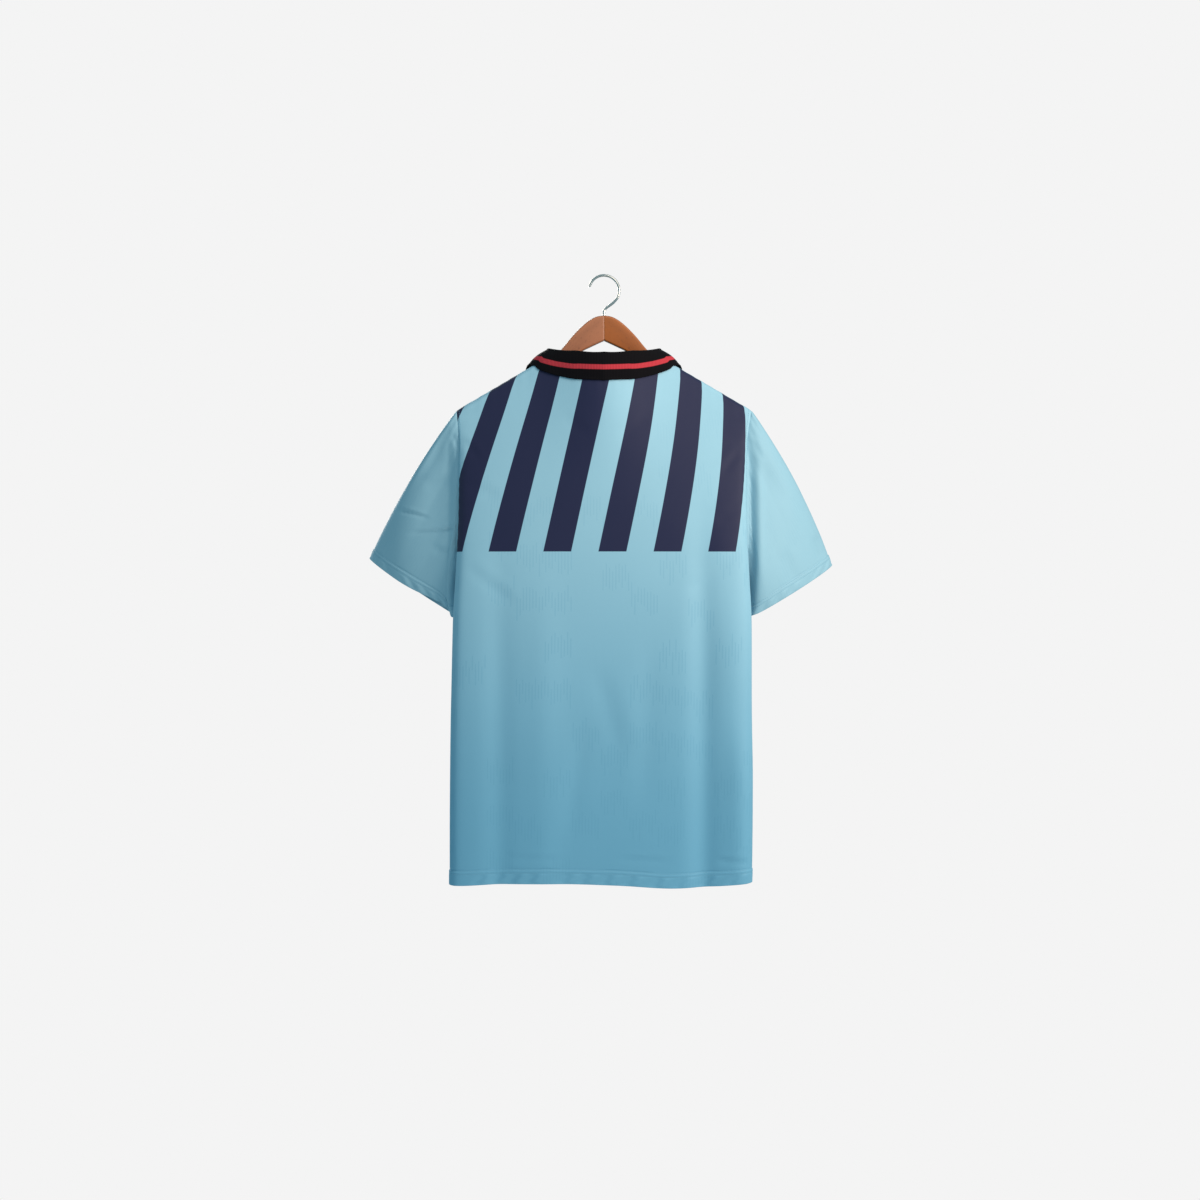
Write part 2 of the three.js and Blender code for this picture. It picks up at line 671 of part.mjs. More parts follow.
addPiece(jersey, 'back_panel', wallGeometry(back, CLOTH_WALL, false), MATERIALS.cloth);
addPiece(jersey, 'front_panel', wallGeometry(front, CLOTH_WALL, false), MATERIALS.cloth);
addPiece(jersey, 'collar', wallGeometry(collar, COLLAR_WALL, false), MATERIALS.collar);
addPiece(jersey, 'hanger_arm_left', armGeometry(-1), MATERIALS.paleWood);
addPiece(jersey, 'hanger_arm_right', armGeometry(1), MATERIALS.brownWood);
addPiece(jersey, 'hanger_hook', hookGeometry(), MATERIALS.steel);

export default jersey;
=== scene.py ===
"""Dresses a packed football jersey on its hanger: cloth, collar, stitches, wood, wire and studio."""

import functools
import math

import bpy
import numpy as np
from bpy.props import FloatProperty, FloatVectorProperty, IntProperty, PointerProperty
from bpy.types import Operator, Panel, PropertyGroup
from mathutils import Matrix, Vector


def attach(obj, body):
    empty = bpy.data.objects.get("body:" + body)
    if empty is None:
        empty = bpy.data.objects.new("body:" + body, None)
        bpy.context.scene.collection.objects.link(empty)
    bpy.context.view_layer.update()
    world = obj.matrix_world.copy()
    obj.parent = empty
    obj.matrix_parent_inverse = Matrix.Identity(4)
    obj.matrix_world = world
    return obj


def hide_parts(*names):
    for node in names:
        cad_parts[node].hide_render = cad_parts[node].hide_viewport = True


bl_info = {
    "name": "Football jersey on a hanger",
    "version": (1, 0, 0),
    "blender": (4, 5, 0),
    "location": "3D View > Sidebar > Jersey",
    "description": "Builds the cloth, collar, stitching, hanger and studio around the packed jersey",
    "category": "Add Mesh",
}

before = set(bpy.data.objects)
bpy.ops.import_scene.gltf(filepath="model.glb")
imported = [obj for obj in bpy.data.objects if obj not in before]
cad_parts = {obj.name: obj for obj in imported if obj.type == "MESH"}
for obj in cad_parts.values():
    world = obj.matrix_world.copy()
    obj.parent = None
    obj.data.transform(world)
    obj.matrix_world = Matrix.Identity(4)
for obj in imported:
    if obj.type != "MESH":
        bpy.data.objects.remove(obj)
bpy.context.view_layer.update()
BODY = "root"
CLOTH_UV = "cloth"

# The tables and lengths below are in millimetres, and meshes are in metres
MM = 0.001

# Shoulder line and underarm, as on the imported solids
NECK_X = 78.0
NECK_Z = -113.4
TIP_X = 211.3
TIP_Z = -191.8
SHOULDER_SLOPE = (NECK_Z - TIP_Z) / (TIP_X - NECK_X)
NECK_SHARE = NECK_X / TIP_X
UNDERARM_Z = -430.0
TIP_ROUNDING_DROP = 60.0
FOLD_EDGE_POWER = 4

# Depth of the body by the drop below the shoulder line, and its width by the distance down
BODY_DEPTH = {
    "drop": (0, 5, 12, 40, 75, 120, 180, 250, 360, 520, 800),
    "depth": (0, 8.8, 11, 18, 25.5, 34, 43, 50, 54, 53, 49),
}
BODY_WIDTH = {
    "down": (191.8, 250, 340, 430, 490, 560, 640, 760, 870),
    "half": (211.3, 206, 205.5, 209, 212, 213, 214, 214.5, 214),
    "dent": (0, 0, 4, 12, 16, 13, 9, 6, 4),
    "shift": (0, -1, -2, -2.2, -2.5, -3.2, -4, -4.8, -5.5),
}

# Half of a level section from the middle to the side seam, in shares of its width and depth
HALF_SECTION = {
    "across": (0, 0.35, 0.7, 0.92, 0.985, 1, 1, 1, 1),
    "deep": (1, 1, 0.98, 0.9, 0.76, 0.6, 0.4, 0.2, 0),
    "dent": (0, 0, 0, 0, 0, 0, 0.45, 0.9, 1),
}
SECTION_STEPS = 24

# Where the armhole cuts the section, and the armhole's stations as shares of the way down
ARMHOLE = {"way": (0, 0.66, 0.78, 0.87, 0.94, 1), "deep": (0.55, 0.55, 0.5, 0.4, 0.24, 0)}
ARMHOLE_STATIONS = {
    "station": tuple(range(13)),
    "way": (0, 0.019, 0.05, 0.11, 0.2, 0.31, 0.43, 0.55, 0.66, 0.77, 0.86, 0.94, 1),
}
ARMHOLE_STEPS = 84
BODY_ROWS = 103
# Columns stand closer together towards the side seam
COLUMN_CROWDING = 0.12

# The two panels: neckline, hem and hanging folds. A fold is a soft upright ridge, or a trough
# where its height is below zero: middle, lean, width, height, top and bottom. It is full from
# halfway down.
PANELS = {
    "back": {
        "side": -1,
        "neck": {"drop": 30.0, "power": 2.2, "fullness": 18.0},
        "hem": {
            "share": (-1, -0.82, -0.55, -0.25, 0.1, 0.4, 0.6, 0.8, 1),
            "down": (861, 869, 866, 865.5, 868, 872, 870, 866, 861),
        },
        "folds": (
            (139, 3, 19, -8, 260, 900),
            (186, 2, 17, 3, 300, 900),
            (-90, 4, 26, 3, 330, 900),
            (-150, 2, 20, -4, 300, 900),
        ),
    },
    "front": {
        "side": 1,
        "neck": {"drop": 105.0, "power": 1.0, "fullness": 14.0},
        "hem": {
            "share": (-1, -0.6, -0.1, 0.3, 0.7, 1),
            "down": (861, 868, 870, 867, 869, 861),
        },
        "folds": (
            (-160, 5, 18, -8, 320, 900),
            (-108, 3, 22, 3.5, 360, 900),
            (52, -5, 24, -4.5, 400, 900),
            (112, -4, 22, 3, 430, 880),
        ),
    },
}
NECK_FULLNESS_WIDTH = 60.0
NECK_FULLNESS_HEIGHT = 100.0
NECK_FULLNESS_DROP = 18.0

# Main creases: x and z of the two ends, width and depth. One whose depth is below zero is a ridge.
# "left" and "right" are the backs of the sleeves.
CREASES = {
    "back": (
        (-204, -236, -176, -262, 5, 0.9),
        (-200, -300, -150, -318, 8, 0.7),
        (196, -250, 168, -284, 6, 0.8),
        (199, -330, 158, -352, 8, 0.8),
        (188, -410, 120, -452, 9, 1.0),
        (-196, -418, -128, -470, 9, 0.9),
        (-60, -205, -18, -232, 9, 0.5),
        (64, -206, 22, -236, 9, 0.5),
        (-12, -560, 26, -690, 15, 1.0),
        (66, -520, 58, -760, 17, 1.1),
        (-30, -640, -48, -800, 14, 0.8),
        (160, -833, 204, -836, 4, 1.4),
        (199, -640, 202, -905, 20, -6.0),
        (23, -831, 94, -834, 4, 0.7),
        (-140, -829, -60, -831, 4, 0.5),
    ),
    "front": (
        (-198, -260, -160, -292, 7, 0.9),
        (196, -240, 170, -270, 6, 0.8),
        (-190, -415, -120, -460, 9, 1.1),
        (192, -420, 130, -476, 9, 0.9),
        (-20, -300, -70, -420, 16, 1.2),
        (18, -310, 52, -400, 14, 0.9),
        (8, -560, -14, -740, 16, 1.0),
        (-150, -834, -92, -832, 4, 1.0),
        (40, -832, 120, -835, 4, 0.7),
    ),
    "left": (
        (-298, -334, -255, -346, 2.3, 2.0),
        (-281, -369, -209, -361, 2.4, 2.0),
        (-250, -392, -214, -398, 6, 1.2),
        (-219, -226, -206, -246, 4, 1.0),
        (-262, -300, -222, -292, 8, 1.0),
    ),
    "right": (
        (306, -372, 322, -402, 8, 2.2),
        (224, -268, 262, -330, 12, 1.4),
        (209, -252, 211, -442, 7, 5.5),
        (258, -396, 276, -440, 10, 1.2),
        (212, -236, 226, -262, 4, 0.9),
    ),
    "left_front": (
        (-290, -350, -240, -372, 6, 1.6),
        (-228, -250, -268, -318, 10, 1.2),
        (-215, -330, -218, -410, 5, 1.6),
    ),
    "right_front": (
        (286, -362, 236, -350, 6, 1.7),
        (270, -398, 214, -388, 7, 1.3),
        (218, -236, 240, -270, 7, 1.0),
    ),
}
CREASE_LIP = 0.45
CREASE_LIP_PLACE = 1.7
# Shares of its length over which a crease begins and ends
CREASE_BEGINS = (-0.12, 0.3)
CREASE_ENDS = (0.7, 1.12)

# The back of the left sleeve sinks in beside the body: by its distance from the armhole, by the
# distance down, and by the sine of the angle round the sleeve
SLEEVE_SINK = {"left": 10.0, "right": 0.0}
SINK_START = 202.0
SINK_REACH = {"steep": 24.0, "level": 34.0, "gone": 100.0}
SINK_DOWN = (205.0, 270.0)
SINK_ROUND = (0.05, 0.6)

# Sleeves: the ends of the cuff's long axis, the fullness of the top line, and how far the outer
# end then swings outwards, forwards and up
SLEEVES = {
    "left": {
        "side": -1, "outer": (337, -404), "inner": (209, -489), "fullness": 7, "swing": (6, 66, 1),
    },
    "right": {
        "side": 1, "outer": (327.5, -414), "inner": (206, -489), "fullness": 9, "swing": (6, 62, 1),
    },
}
SWING_START = 0.06
SWING_POWER = 1.3
CUFF_HALF_DEPTH = 33.0
SLEEVE_ROUNDING = 0.3
SLEEVE_SWELL_POWER = 0.8
CUFF_SAG = 4.0
UNDERARM_LIFT = 8.0
SLEEVE_ROWS = 62
# Rows stand closer together towards the armhole
SLEEVE_ROW_CROWDING = 0.1
# Half the band over which a sleeve's back creases give way to its front ones, by the same sine
BACK_TO_FRONT = 0.05

# Hems: heights of the two rows of stitches above the edge, and how far fine rows reach
BODY_HEM = {"stitches": (15.5, 20.0), "reach": 27.0}
CUFF_HEM = {"stitches": (12.5, 17.0), "reach": 24.0}
HEM_ROW_STEP = 1.1
LOWEST_HEM_ROW = 0.4
HEM_PUFF = 1.1
HEM_PUFF_END = (-1.0, 1.5)
GROOVE_WIDTH = 1.1
GROOVE_DEPTH = 0.95
LOW_GROOVE_SHARE = 0.35
# Height and length of the waves in which the grooves wander
GROOVE_WAVES = ((0.35, 19.0), (0.2, 7.3))
HEM_RIPPLES = (-171, -146, -123, -98, -50, -23, 8, 41, 79, 112, 150, 187)
RIPPLE_WIDTH = 6.0
RIPPLE_DEPTH = 0.95
RIPPLE_LEAN = 0.9
RIPPLE_SPLIT = 0.8
RIPPLE_FADE = 4.0

# Seams: the cloth rolls in where it is sewn, and is flat close to it. Stitches lie beside the
# shoulder seam and the armhole.
SEAM_ROLL = 0.75
SEAM_ROLL_WIDTH = 1.7
SEAM_HALF_GAP = 0.04
SEAM_FLAT = {"panel": 3.0, "sleeve": 4.0}
STITCH_OFF_SEAM = 4.0

# Puckers beside the seams. Those of the armhole fade into weaker, longer ones at the side seam,
# between two distances down.
PUCKER_DEPTH = 0.4
PUCKER_LENGTH = 2.7
PUCKER_START = 2.5
PUCKER_REACH = 16.0
PUCKER_DRIFT = 2.2
PUCKER_DRIFT_LENGTHS = (23.0, 61.0)
ARMHOLE_PUCKERS_END = (380, 440)
SIDE_PUCKERS = {"share": 0.5, "stretch": 0.8}
SHOULDER_PUCKER_SHARE = 0.6
SLEEVE_PUCKERS = {"share": 1.2, "start": 40}

# Collar by the place along the neckline, from the middle of the back at 0, over the neck point at
# 1, to the V of the front at 2: height of the stand, and the fall's outer edge
COLLAR = {
    "place": (0, 0.45, 0.7, 0.88, 1, 1.12, 1.4, 1.7, 2),
    "stand": (28, 25, 18, 11.5, 7.5, 7, 6, 4, 2),
    "edge_x": (0, 37, 66, 90, 107, 113, 106, 84, 58),
    "edge_down": (152.5, 150.3, 144, 135.5, 126.8, 139, 179, 222, 256),
}
COLLAR_FOLD_RADIUS = 1.6
COLLAR_GAP = 1.3
COLLAR_RIDGE_SPAN = 0.5
COLLAR_CLEARING_STEPS = 6
# Drops below the shoulder line at which its clearance is looked up: from, to, and how many
COLLAR_CLEARING_DROPS = (0, 60, 241)
COLLAR_FALL_CURVE = 2.4
COLLAR_FALL_LIFT = 0.5
COLLAR_END_PLACE = 1.968
COLLAR_ROWS = {"stand": 9, "fold": 9, "fall": 26}

# How far a free edge of the cloth bulges, in shares of its thickness
RIM_BULGE = 0.45

# Hanger arm by the distance from the middle joint: distances down from the origin
ARM = {
    "x": (0.04, 9.1, 19.1, 29.3, 39.5, 47.5, 56.3, 74),
    "top": (56, 57.2, 61.7, 69.4, 79.3, 88, 98.9, 117.4),
    "bottom": (92.3, 96.4, 101.1, 106, 112, 117, 123, 135.5),
}
ARM_HIDDEN_X = (100, 130, 160, 188, 203)
ARM_UNDER_SHOULDER = 4.1
ARM_END_DEPTH = 16.0
ARM_HALF_THICKNESS = 5.4
ARM_EDGE_RADIUS = 3.0
ARM_TIP_ROUNDING = 14.0
ARM_TIP_INSET_SHARE = 0.4
ARM_JOINT_BEVEL = {"inset": 0.35, "length": 0.6, "middle": 0.15}
ARM_STATIONS = 110
CORNER_STEPS = 6
# Length of the wood's own coordinates along the arm, and from corner to corner round it
WOOD_ALONG = 1.2
WOOD_ROUND = 3.0

# Wire hook: stem above its foot in the joint, then a round over the rail
HOOK_INNER_RADIUS = 20.0
HOOK_FOOT_Z = -55.7
HOOK_STEM = ((0, 0), (0, 4), (2.5, 10))
HOOK_ANGLES = (-52, 196, 31)
HOOK_STEPS = 14
HOOK_ROUNDNESS = 5
HOOK_TIP_STEPS = 5
HOOK_TIP_FLAT = 0.1

# Angles in degrees above which an edge stays sharp
CLOTH_SHARP = 70
WOOD_SHARP = 45
WIRE_SHARP = 50

# Patterns along the cloth, in metres. Tonal dashes: fine upright lines in groups, cut into rows.
# "thin" is the width of a line, and "bare" the share of blocks without any. A dash begins up to
# "late" of a row down, and its length is "shortest" and up to "longer" more.
DASH = {
    "line": 0.0045, "group": 9, "row": 0.064, "thin": 0.36, "bare": 0.42,
    "late": 0.3, "shortest": 0.3, "longer": 0.25,
}
BLOCK_SEED = 7.0
# Distances down between which the dashes grow stronger, with both strengths, and between which painted
# shade darkens the ground towards the hem
DASH_DEEPENS = (0.25, 0.5, 0.05, 0.22)
PAINTED_SHADE_DOWN = (0.25, 0.85)
# Least tone of the printed and the plain knit, and how much its clouds add. The plain knit's lower least
# tone is painted shade.
CLOUDS = {"scale": 6.5, "printed": 0.97, "plain": 0.89, "range": 0.06}
# Printed bars 40 mm wide: their distance, their lean in degrees, where a bar begins and stops in
# shares of the distance, and where they all end
BARS = {"apart": 0.078, "lean": 12, "begin": (0.0, 0.008), "stop": (0.507, 0.515)}
BARS_END = (0.3957, 0.3963)
# Real loops are 0.8 mm apart, and these show from close by
KNIT_LOOP = 0.0016

# The wave texture repeats after the first distance at scale 1. Ribs and plies are that of the
# collar and of the thread.
WAVE = 0.314
RIB = 0.0022
PLY = 0.0007
# Two distances off the middle, and the heights of the collar's stripe above the edge there. Red
# and black loops interlock over the width of the fade.
STRIPE_LOW = (0.035, 0.1, 0.0144, 0.009)
STRIPE_FADE = 0.0008

# Least and most tone or roughness of the finishes, the height of the rib's fuzz to its ribs, and the
# tone of the thread between its plies. The rib's tone is painted shade in its grooves and a painted
# highlight on its ribs, and the thread's tone between its plies is painted shade.
RIB_PAINTED_SHADE = (0.82, 1.08)
RIB_FUZZ = 0.35
KNIT_ROUGH = (0.54, 0.62)
WOOD_ROUGH = (0.38, 0.5)
WIRE_ROUGH = (0.16, 0.3)
FLOOR_ROUGH = (0.8, 0.95)
THREAD_SHADE = 0.8

# Wood: repeats of grain and pores to the metre, along the arm and round it, how much of their
# noise shows, and tones of the dark and the pale grain
WOOD_GRAIN = {"repeats": (12.0, 260.0, 1.0), "shown": (0.3, 0.7), "softened": 0.45}
WOOD_PORES = {"repeats": (200.0, 2400.0, 1.0), "shown": (0.62, 0.75)}
WOOD_TONES = {"dark": 0.62, "pale": 1.22}

# The photograph's camera: level, behind the garment
CAMERA_PLACE = (-0.0057, -3.040, -0.4645)
CAMERA_SPAN = 1.7016
CAMERA_DISTANCE = 3.0
FLOOR_Z = -2.0
FLOOR_RADIUS = 2.2
FLOOR_CORNERS = 96

# Soft square lights, aimed at the garment's chest: place and width in metres, and colour
AIM = (0.0, 0.0, -0.40)
LIGHTS = {
    "key": ((1.51, -1.256, 0.103), 0.8, (1.0, 0.86, 0.74)),
    "top": ((0.30, -0.62, 0.45), 0.5, (1.0, 0.86, 0.74)),
    "front": ((-0.9, 2.0, 0.5), 1.2, (1.0, 0.90, 0.80)),
}
ROOM_COLOUR = (0.55, 0.87, 1.0, 1.0)


def linear(hex_colour):
    """An sRGB hex colour as linear red, green, blue and alpha."""
    parts = [int(hex_colour[i:i + 2], 16) / 255 for i in (0, 2, 4)]
    curve = [v / 12.92 if v <= 0.04045 else ((v + 0.055) / 1.055) ** 2.4 for v in parts]
    return (*curve, 1.0)


def colour_property(name, description, hex_colour):
    """A colour with its default given in hex."""
    return FloatVectorProperty(
        name=name, description=description, subtype="COLOR", size=4, min=0, max=1,
        default=linear(hex_colour),
    )


class JerseyCloth(PropertyGroup):
    """Sizes and colours of the body and the sleeves."""

    thickness: FloatProperty(
        name="Thickness", description="Thickness of the knit", default=0.9 * MM,
        min=0.3 * MM, max=2 * MM, unit="LENGTH",
    )
    columns: IntProperty(
        name="Columns", description="Mesh columns across half a panel", default=88, min=30, max=120,
    )
    sky: colour_property("Ground", "Colour of the plain knit", "98c4d6")
    # The lower ground is the ground darkened by painted shade, blended in towards the hem
    sky_painted_shade: colour_property("Lower ground", "Colour of the plain knit near the hem", "6eaac6")
    sky_shadow: colour_property("Shadow pattern", "Colour of the tonal dashes", "5f9dba")
    navy: colour_property("Print", "Colour of the printed bars", "1d2142")


class JerseyCollar(PropertyGroup):
    """Sizes and colours of the collar."""

    thickness: FloatProperty(
        name="Thickness", description="Thickness of the rib knit", default=1.6 * MM,
        min=0.8 * MM, max=1.8 * MM, unit="LENGTH",
    )
    stripe_width: FloatProperty(
        name="Stripe width", description="Width of the stripe in the fall", default=7.5 * MM,
        min=2 * MM, max=12 * MM, unit="LENGTH",
    )
    black: colour_property("Ground", "Colour of the rib knit", "0a070b")
    red: colour_property("Stripe", "Colour of the stripe", "c23a44")


class JerseyStitching(PropertyGroup):
    """Sizes and colour of the stitches."""

    pitch: FloatProperty(
        name="Pitch", description="Distance from stitch to stitch", default=3.2 * MM,
        min=2 * MM, max=6 * MM, unit="LENGTH",
    )
    length: FloatProperty(
        name="Length", description="Length of a stitch", default=2.5 * MM,
        min=1 * MM, max=5 * MM, unit="LENGTH",
    )
    thickness: FloatProperty(
        name="Thickness", description="Thickness of the thread", default=0.55 * MM,
        min=0.2 * MM, max=1 * MM, unit="LENGTH",
    )
    thread: colour_property("Thread", "Colour of the thread", "73aec6")


class JerseyHanger(PropertyGroup):
    """Sizes and colours of the hanger."""

    wire_radius: FloatProperty(
        name="Wire radius", description="Half the thickness of the hook's wire", default=1.9 * MM,
        min=1 * MM, max=3 * MM, unit="LENGTH",
    )
    pale_wood: colour_property("Pale half", "Colour of the wood at the left", "ae6c49")
    brown_wood: colour_property("Brown half", "Colour of the wood at the right", "a35616")
    nickel: colour_property("Hook", "Colour of the plated wire", "c9c7c2")


class JerseyStudio(PropertyGroup):
    """Lights and backdrop."""

    key_power: FloatProperty(
        name="Key light", description="Power of the soft light at the upper right", default=33.0,
        min=0, max=500, unit="POWER",
    )
    top_power: FloatProperty(
        name="Top light", description="Power of the soft light above the shoulders", default=3,
        min=0, max=500, unit="POWER",
    )
    front_power: FloatProperty(
        name="Front light", description="Power of the soft light before the chest", default=40,
        min=0, max=500, unit="POWER",
    )
    room_light: FloatProperty(
        name="Room light", description="Strength of the even light of the room", default=0.46,
        min=0, max=2,
    )
    backdrop: colour_property("Backdrop", "Colour behind the object", "f4f4f4")
    floor: colour_property("Floor", "Colour of the floor", "efefee")


def read(table, key, column, value):
    """A column of a table, on a smooth curve through its rows that adds no waves of its own."""
    keys = np.asarray(table[key], float)
    rows = np.asarray(table[column], float)
    steps = np.diff(keys)
    slopes = np.diff(rows) / steps
    product = slopes[:-1] * slopes[1:]
    total = slopes[:-1] + slopes[1:]
    inner = np.where(product > 0, 2 * product / np.where(total == 0, 1, total), 0)
    tangents = np.concatenate([slopes[:1], inner, slopes[-1:]])
    value = np.clip(np.asarray(value, float), keys[0], keys[-1])
    i = np.clip(np.searchsorted(keys, value, side="right") - 1, 0, len(steps) - 1)
    t = (value - keys[i]) / steps[i]
    low, high = rows[i], rows[i + 1]
    leave, arrive = tangents[i] * steps[i], tangents[i + 1] * steps[i]
    return (
        low * (2 * t**3 - 3 * t**2 + 1) + high * (3 * t**2 - 2 * t**3)
        + leave * (t**3 - 2 * t**2 + t) + arrive * (t**3 - t**2)
    )


def lerp(a, b, t):
    """The value a share of the way from one to the other."""
    return a + (b - a) * t


def smoothstep(value, low, high):
    """A soft step from 0 to 1."""
    t = np.clip((value - low) / (high - low), 0, 1)
    return t * t * (3 - 2 * t)


def between(knots, t):
    """The smooth curve through four knots, a share of the way from the second to the third."""
    before, start, stop, after = knots
    leave = (stop - before) / 2
    arrive = (after - start) / 2
    cubic = 2 * start - 2 * stop + leave + arrive
    square = 3 * stop - 3 * start - 2 * leave - arrive
    return ((cubic * t + square) * t + leave) * t + start


def unit(vectors):
    """Vectors at a length of one."""
    length = np.linalg.norm(vectors, axis=-1, keepdims=True)
    return vectors / np.maximum(length, 1e-9)


def arc(points, axis):
    """Length along a grid's rows or columns, from its first point."""
    steps = np.linalg.norm(np.diff(points, axis=axis), axis=-1)
    start = np.zeros_like(np.take(steps, [0], axis=axis))
    return np.concatenate([start, np.cumsum(steps, axis=axis)], axis=axis)


def grid_normals(points, sign):
    """Normals of a grid from each point's neighbours."""
    down = np.gradient(points, axis=0)
    along = np.gradient(points, axis=1)
    return unit(np.cross(along, down)) * sign


def shoulder_height(x):
    """Height of the straight shoulder line."""
    return NECK_Z - (np.abs(x) - NECK_X) * SHOULDER_SLOPE


def drop_at(x, z):
    """Drop below the shoulder line, which is bridged by a smooth arc between the neck points."""
    across = np.where(np.abs(x) < NECK_X, (NECK_X + x * x / NECK_X) / 2, x)
    return shoulder_height(across) - z


def top_height(neck, x):
    """Top edge of a panel: the shoulder line, and between the neck points its neckline."""
    share = np.clip(np.abs(x) / NECK_X, 0, 1)
    neckline = NECK_Z - neck["drop"] * (1 - share ** neck["power"])
    return np.where(np.abs(x) >= NECK_X, shoulder_height(x), neckline)


def depth_at(drop):
    """Depth of the body, read on the square root of the drop, which makes the ridge round."""
    table = {"root": np.sqrt(BODY_DEPTH["drop"]), "depth": BODY_DEPTH["depth"]}
    return read(table, "root", "depth", np.sqrt(np.maximum(drop, 0)))


def body_depth(panel, x, z):
    """How far a panel stands off the shoulder plane."""
    drop = np.maximum(0, drop_at(x, z))
    neck = panel["neck"]
    off_neck = (NECK_Z - neck["drop"] - z) / NECK_FULLNESS_HEIGHT
    spread = np.exp(-((x / NECK_FULLNESS_WIDTH) ** 2)) * np.exp(-(off_neck**2))
    return depth_at(drop) + neck["fullness"] * spread * np.minimum(1, drop / NECK_FULLNESS_DROP)


def fold_depth(panel, x, z):
    """Hanging folds of a panel."""
    depth = np.zeros_like(x)
    for middle, lean, width, height, top, bottom in panel["folds"]:
        share = smoothstep(-z, top, (top + bottom) / 2)
        depth += height * share * np.exp(-(((x - middle - lean * share) / width) ** 2))
    return depth


def crease_depth(creases, x, z):
    """Creases as troughs with a soft lip on one side."""
    depth = np.zeros_like(x)
    for x0, z0, x1, z1, width, deep in creases:
        run = np.array([x1 - x0, z1 - z0], float)
        length = np.linalg.norm(run)
        run /= length
        along = ((x - x0) * run[0] + (z - z0) * run[1]) / length
        across = (x - x0) * -run[1] + (z - z0) * run[0]
        across *= 1 if run[0] >= 0 else -1
        ends = smoothstep(along, *CREASE_BEGINS) * (1 - smoothstep(along, *CREASE_ENDS))
        trough = np.exp(-((across / width) ** 2))
        lip = np.exp(-((across / width - CREASE_LIP_PLACE) ** 2))
        depth += deep * ends * (CREASE_LIP * lip - trough)
    return depth


def pucker(distance, along):
    """Small uneven puckers beside a seam, square to it."""
    short, long = PUCKER_DRIFT_LENGTHS
    wave = np.sin(along / PUCKER_LENGTH + PUCKER_DRIFT * np.sin(along / short) + np.sin(along / long))
    reach = np.exp(-distance / PUCKER_REACH) * (1 - np.exp(-distance / PUCKER_START))
    return PUCKER_DEPTH * wave * reach


def hem_relief(hem, height, along):
    """Puffed band, two stitched grooves and slanting ripples above a hem's edge."""
    low, high = hem["stitches"]
    relief = HEM_PUFF * (1 - smoothstep(height - high, *HEM_PUFF_END))
    for row, share in ((low, LOW_GROOVE_SHARE), (high, 1)):
        wavy = row
        for size, length in GROOVE_WAVES:
            wavy = wavy + size * np.sin(along / length)
        relief -= share * GROOVE_DEPTH * np.exp(-(((height - wavy) / GROOVE_WIDTH) ** 2))
    band = smoothstep(height, 0, RIPPLE_FADE) * (1 - smoothstep(height, low - RIPPLE_FADE, low))
    for place in HEM_RIPPLES:
        off = (along - place - RIPPLE_LEAN * (height - low / 2)) / RIPPLE_WIDTH
        ridge, trough = (np.exp(-((off + split) ** 2)) for split in (-RIPPLE_SPLIT, RIPPLE_SPLIT))
        relief += RIPPLE_DEPTH * band * (ridge - trough)
    return relief


def half_sections(half, depth, dent):
    """Fine points of half a level section for each row, by a curve through its table."""
    across = half[:, None] * np.array(HALF_SECTION["across"])
    across = across - dent[:, None] * np.array(HALF_SECTION["dent"])
    deep = depth[:, None] * np.array(HALF_SECTION["deep"])
    knots = np.stack([across, deep], axis=-1)
    padded = np.concatenate([knots[:, :1], knots, knots[:, -1:]], axis=1)
    t = np.linspace(0, 1, SECTION_STEPS, endpoint=False)[None, :, None]
    spans = []
    for i in range(knots.shape[1] - 1):
        spans.append(between([padded[:, i + k, None, :] for k in range(4)], t))
    return np.concatenate([*spans, knots[:, -1:]], axis=1)


def section_rows(down, armhole_deep, shares):
    """Across and depth share of each column on each row, and the row's swing to the side."""
    half, dent, shift = (read(BODY_WIDTH, "down", name, down) for name in ("half", "dent", "shift"))
    depth = depth_at(np.maximum(1, down + TIP_Z))
    points = half_sections(half, depth, dent)
    lengths = arc(points, 1)
    across, deep = np.empty((2, len(down), len(shares)))
    for r, (line, length) in enumerate(zip(points, lengths)):
        reach = length[-1]
        if armhole_deep[r] > 0:
            half_way = len(length) // 2
            reach = np.interp(-armhole_deep[r] * depth[r], -line[half_way:, 1], length[half_way:])
        places = np.abs(shares) * reach
        across[r] = np.sign(shares) * np.interp(places, length, line[:, 0]) + shift[r]
        deep[r] = np.interp(places, length, line[:, 1]) / depth[r]
    return across, deep


def column_shares():
    """Grid lines across a panel: shares of the half width, with the neck points among them."""
    half = bpy.context.scene.jersey_cloth.columns
    inner = round(half * NECK_SHARE)
    to_neck = np.linspace(0, NECK_SHARE, inner + 1)
    even = np.linspace(0, 1, half - inner + 1)[1:]
    crowded = even + COLUMN_CROWDING * np.sin(math.pi * even) * even
    to_side = NECK_SHARE + (1 - NECK_SHARE) * crowded
    right = np.concatenate([to_neck, to_side])
    return np.concatenate([-right[:0:-1], right])


def hem_rows(reach):
    """Heights of the fine rows in a hem, down to its edge."""
    heights = np.arange(reach, -1e-6, -HEM_ROW_STEP)[1:]
    return np.append(heights[heights > LOWEST_HEM_ROW], 0)[:, None]


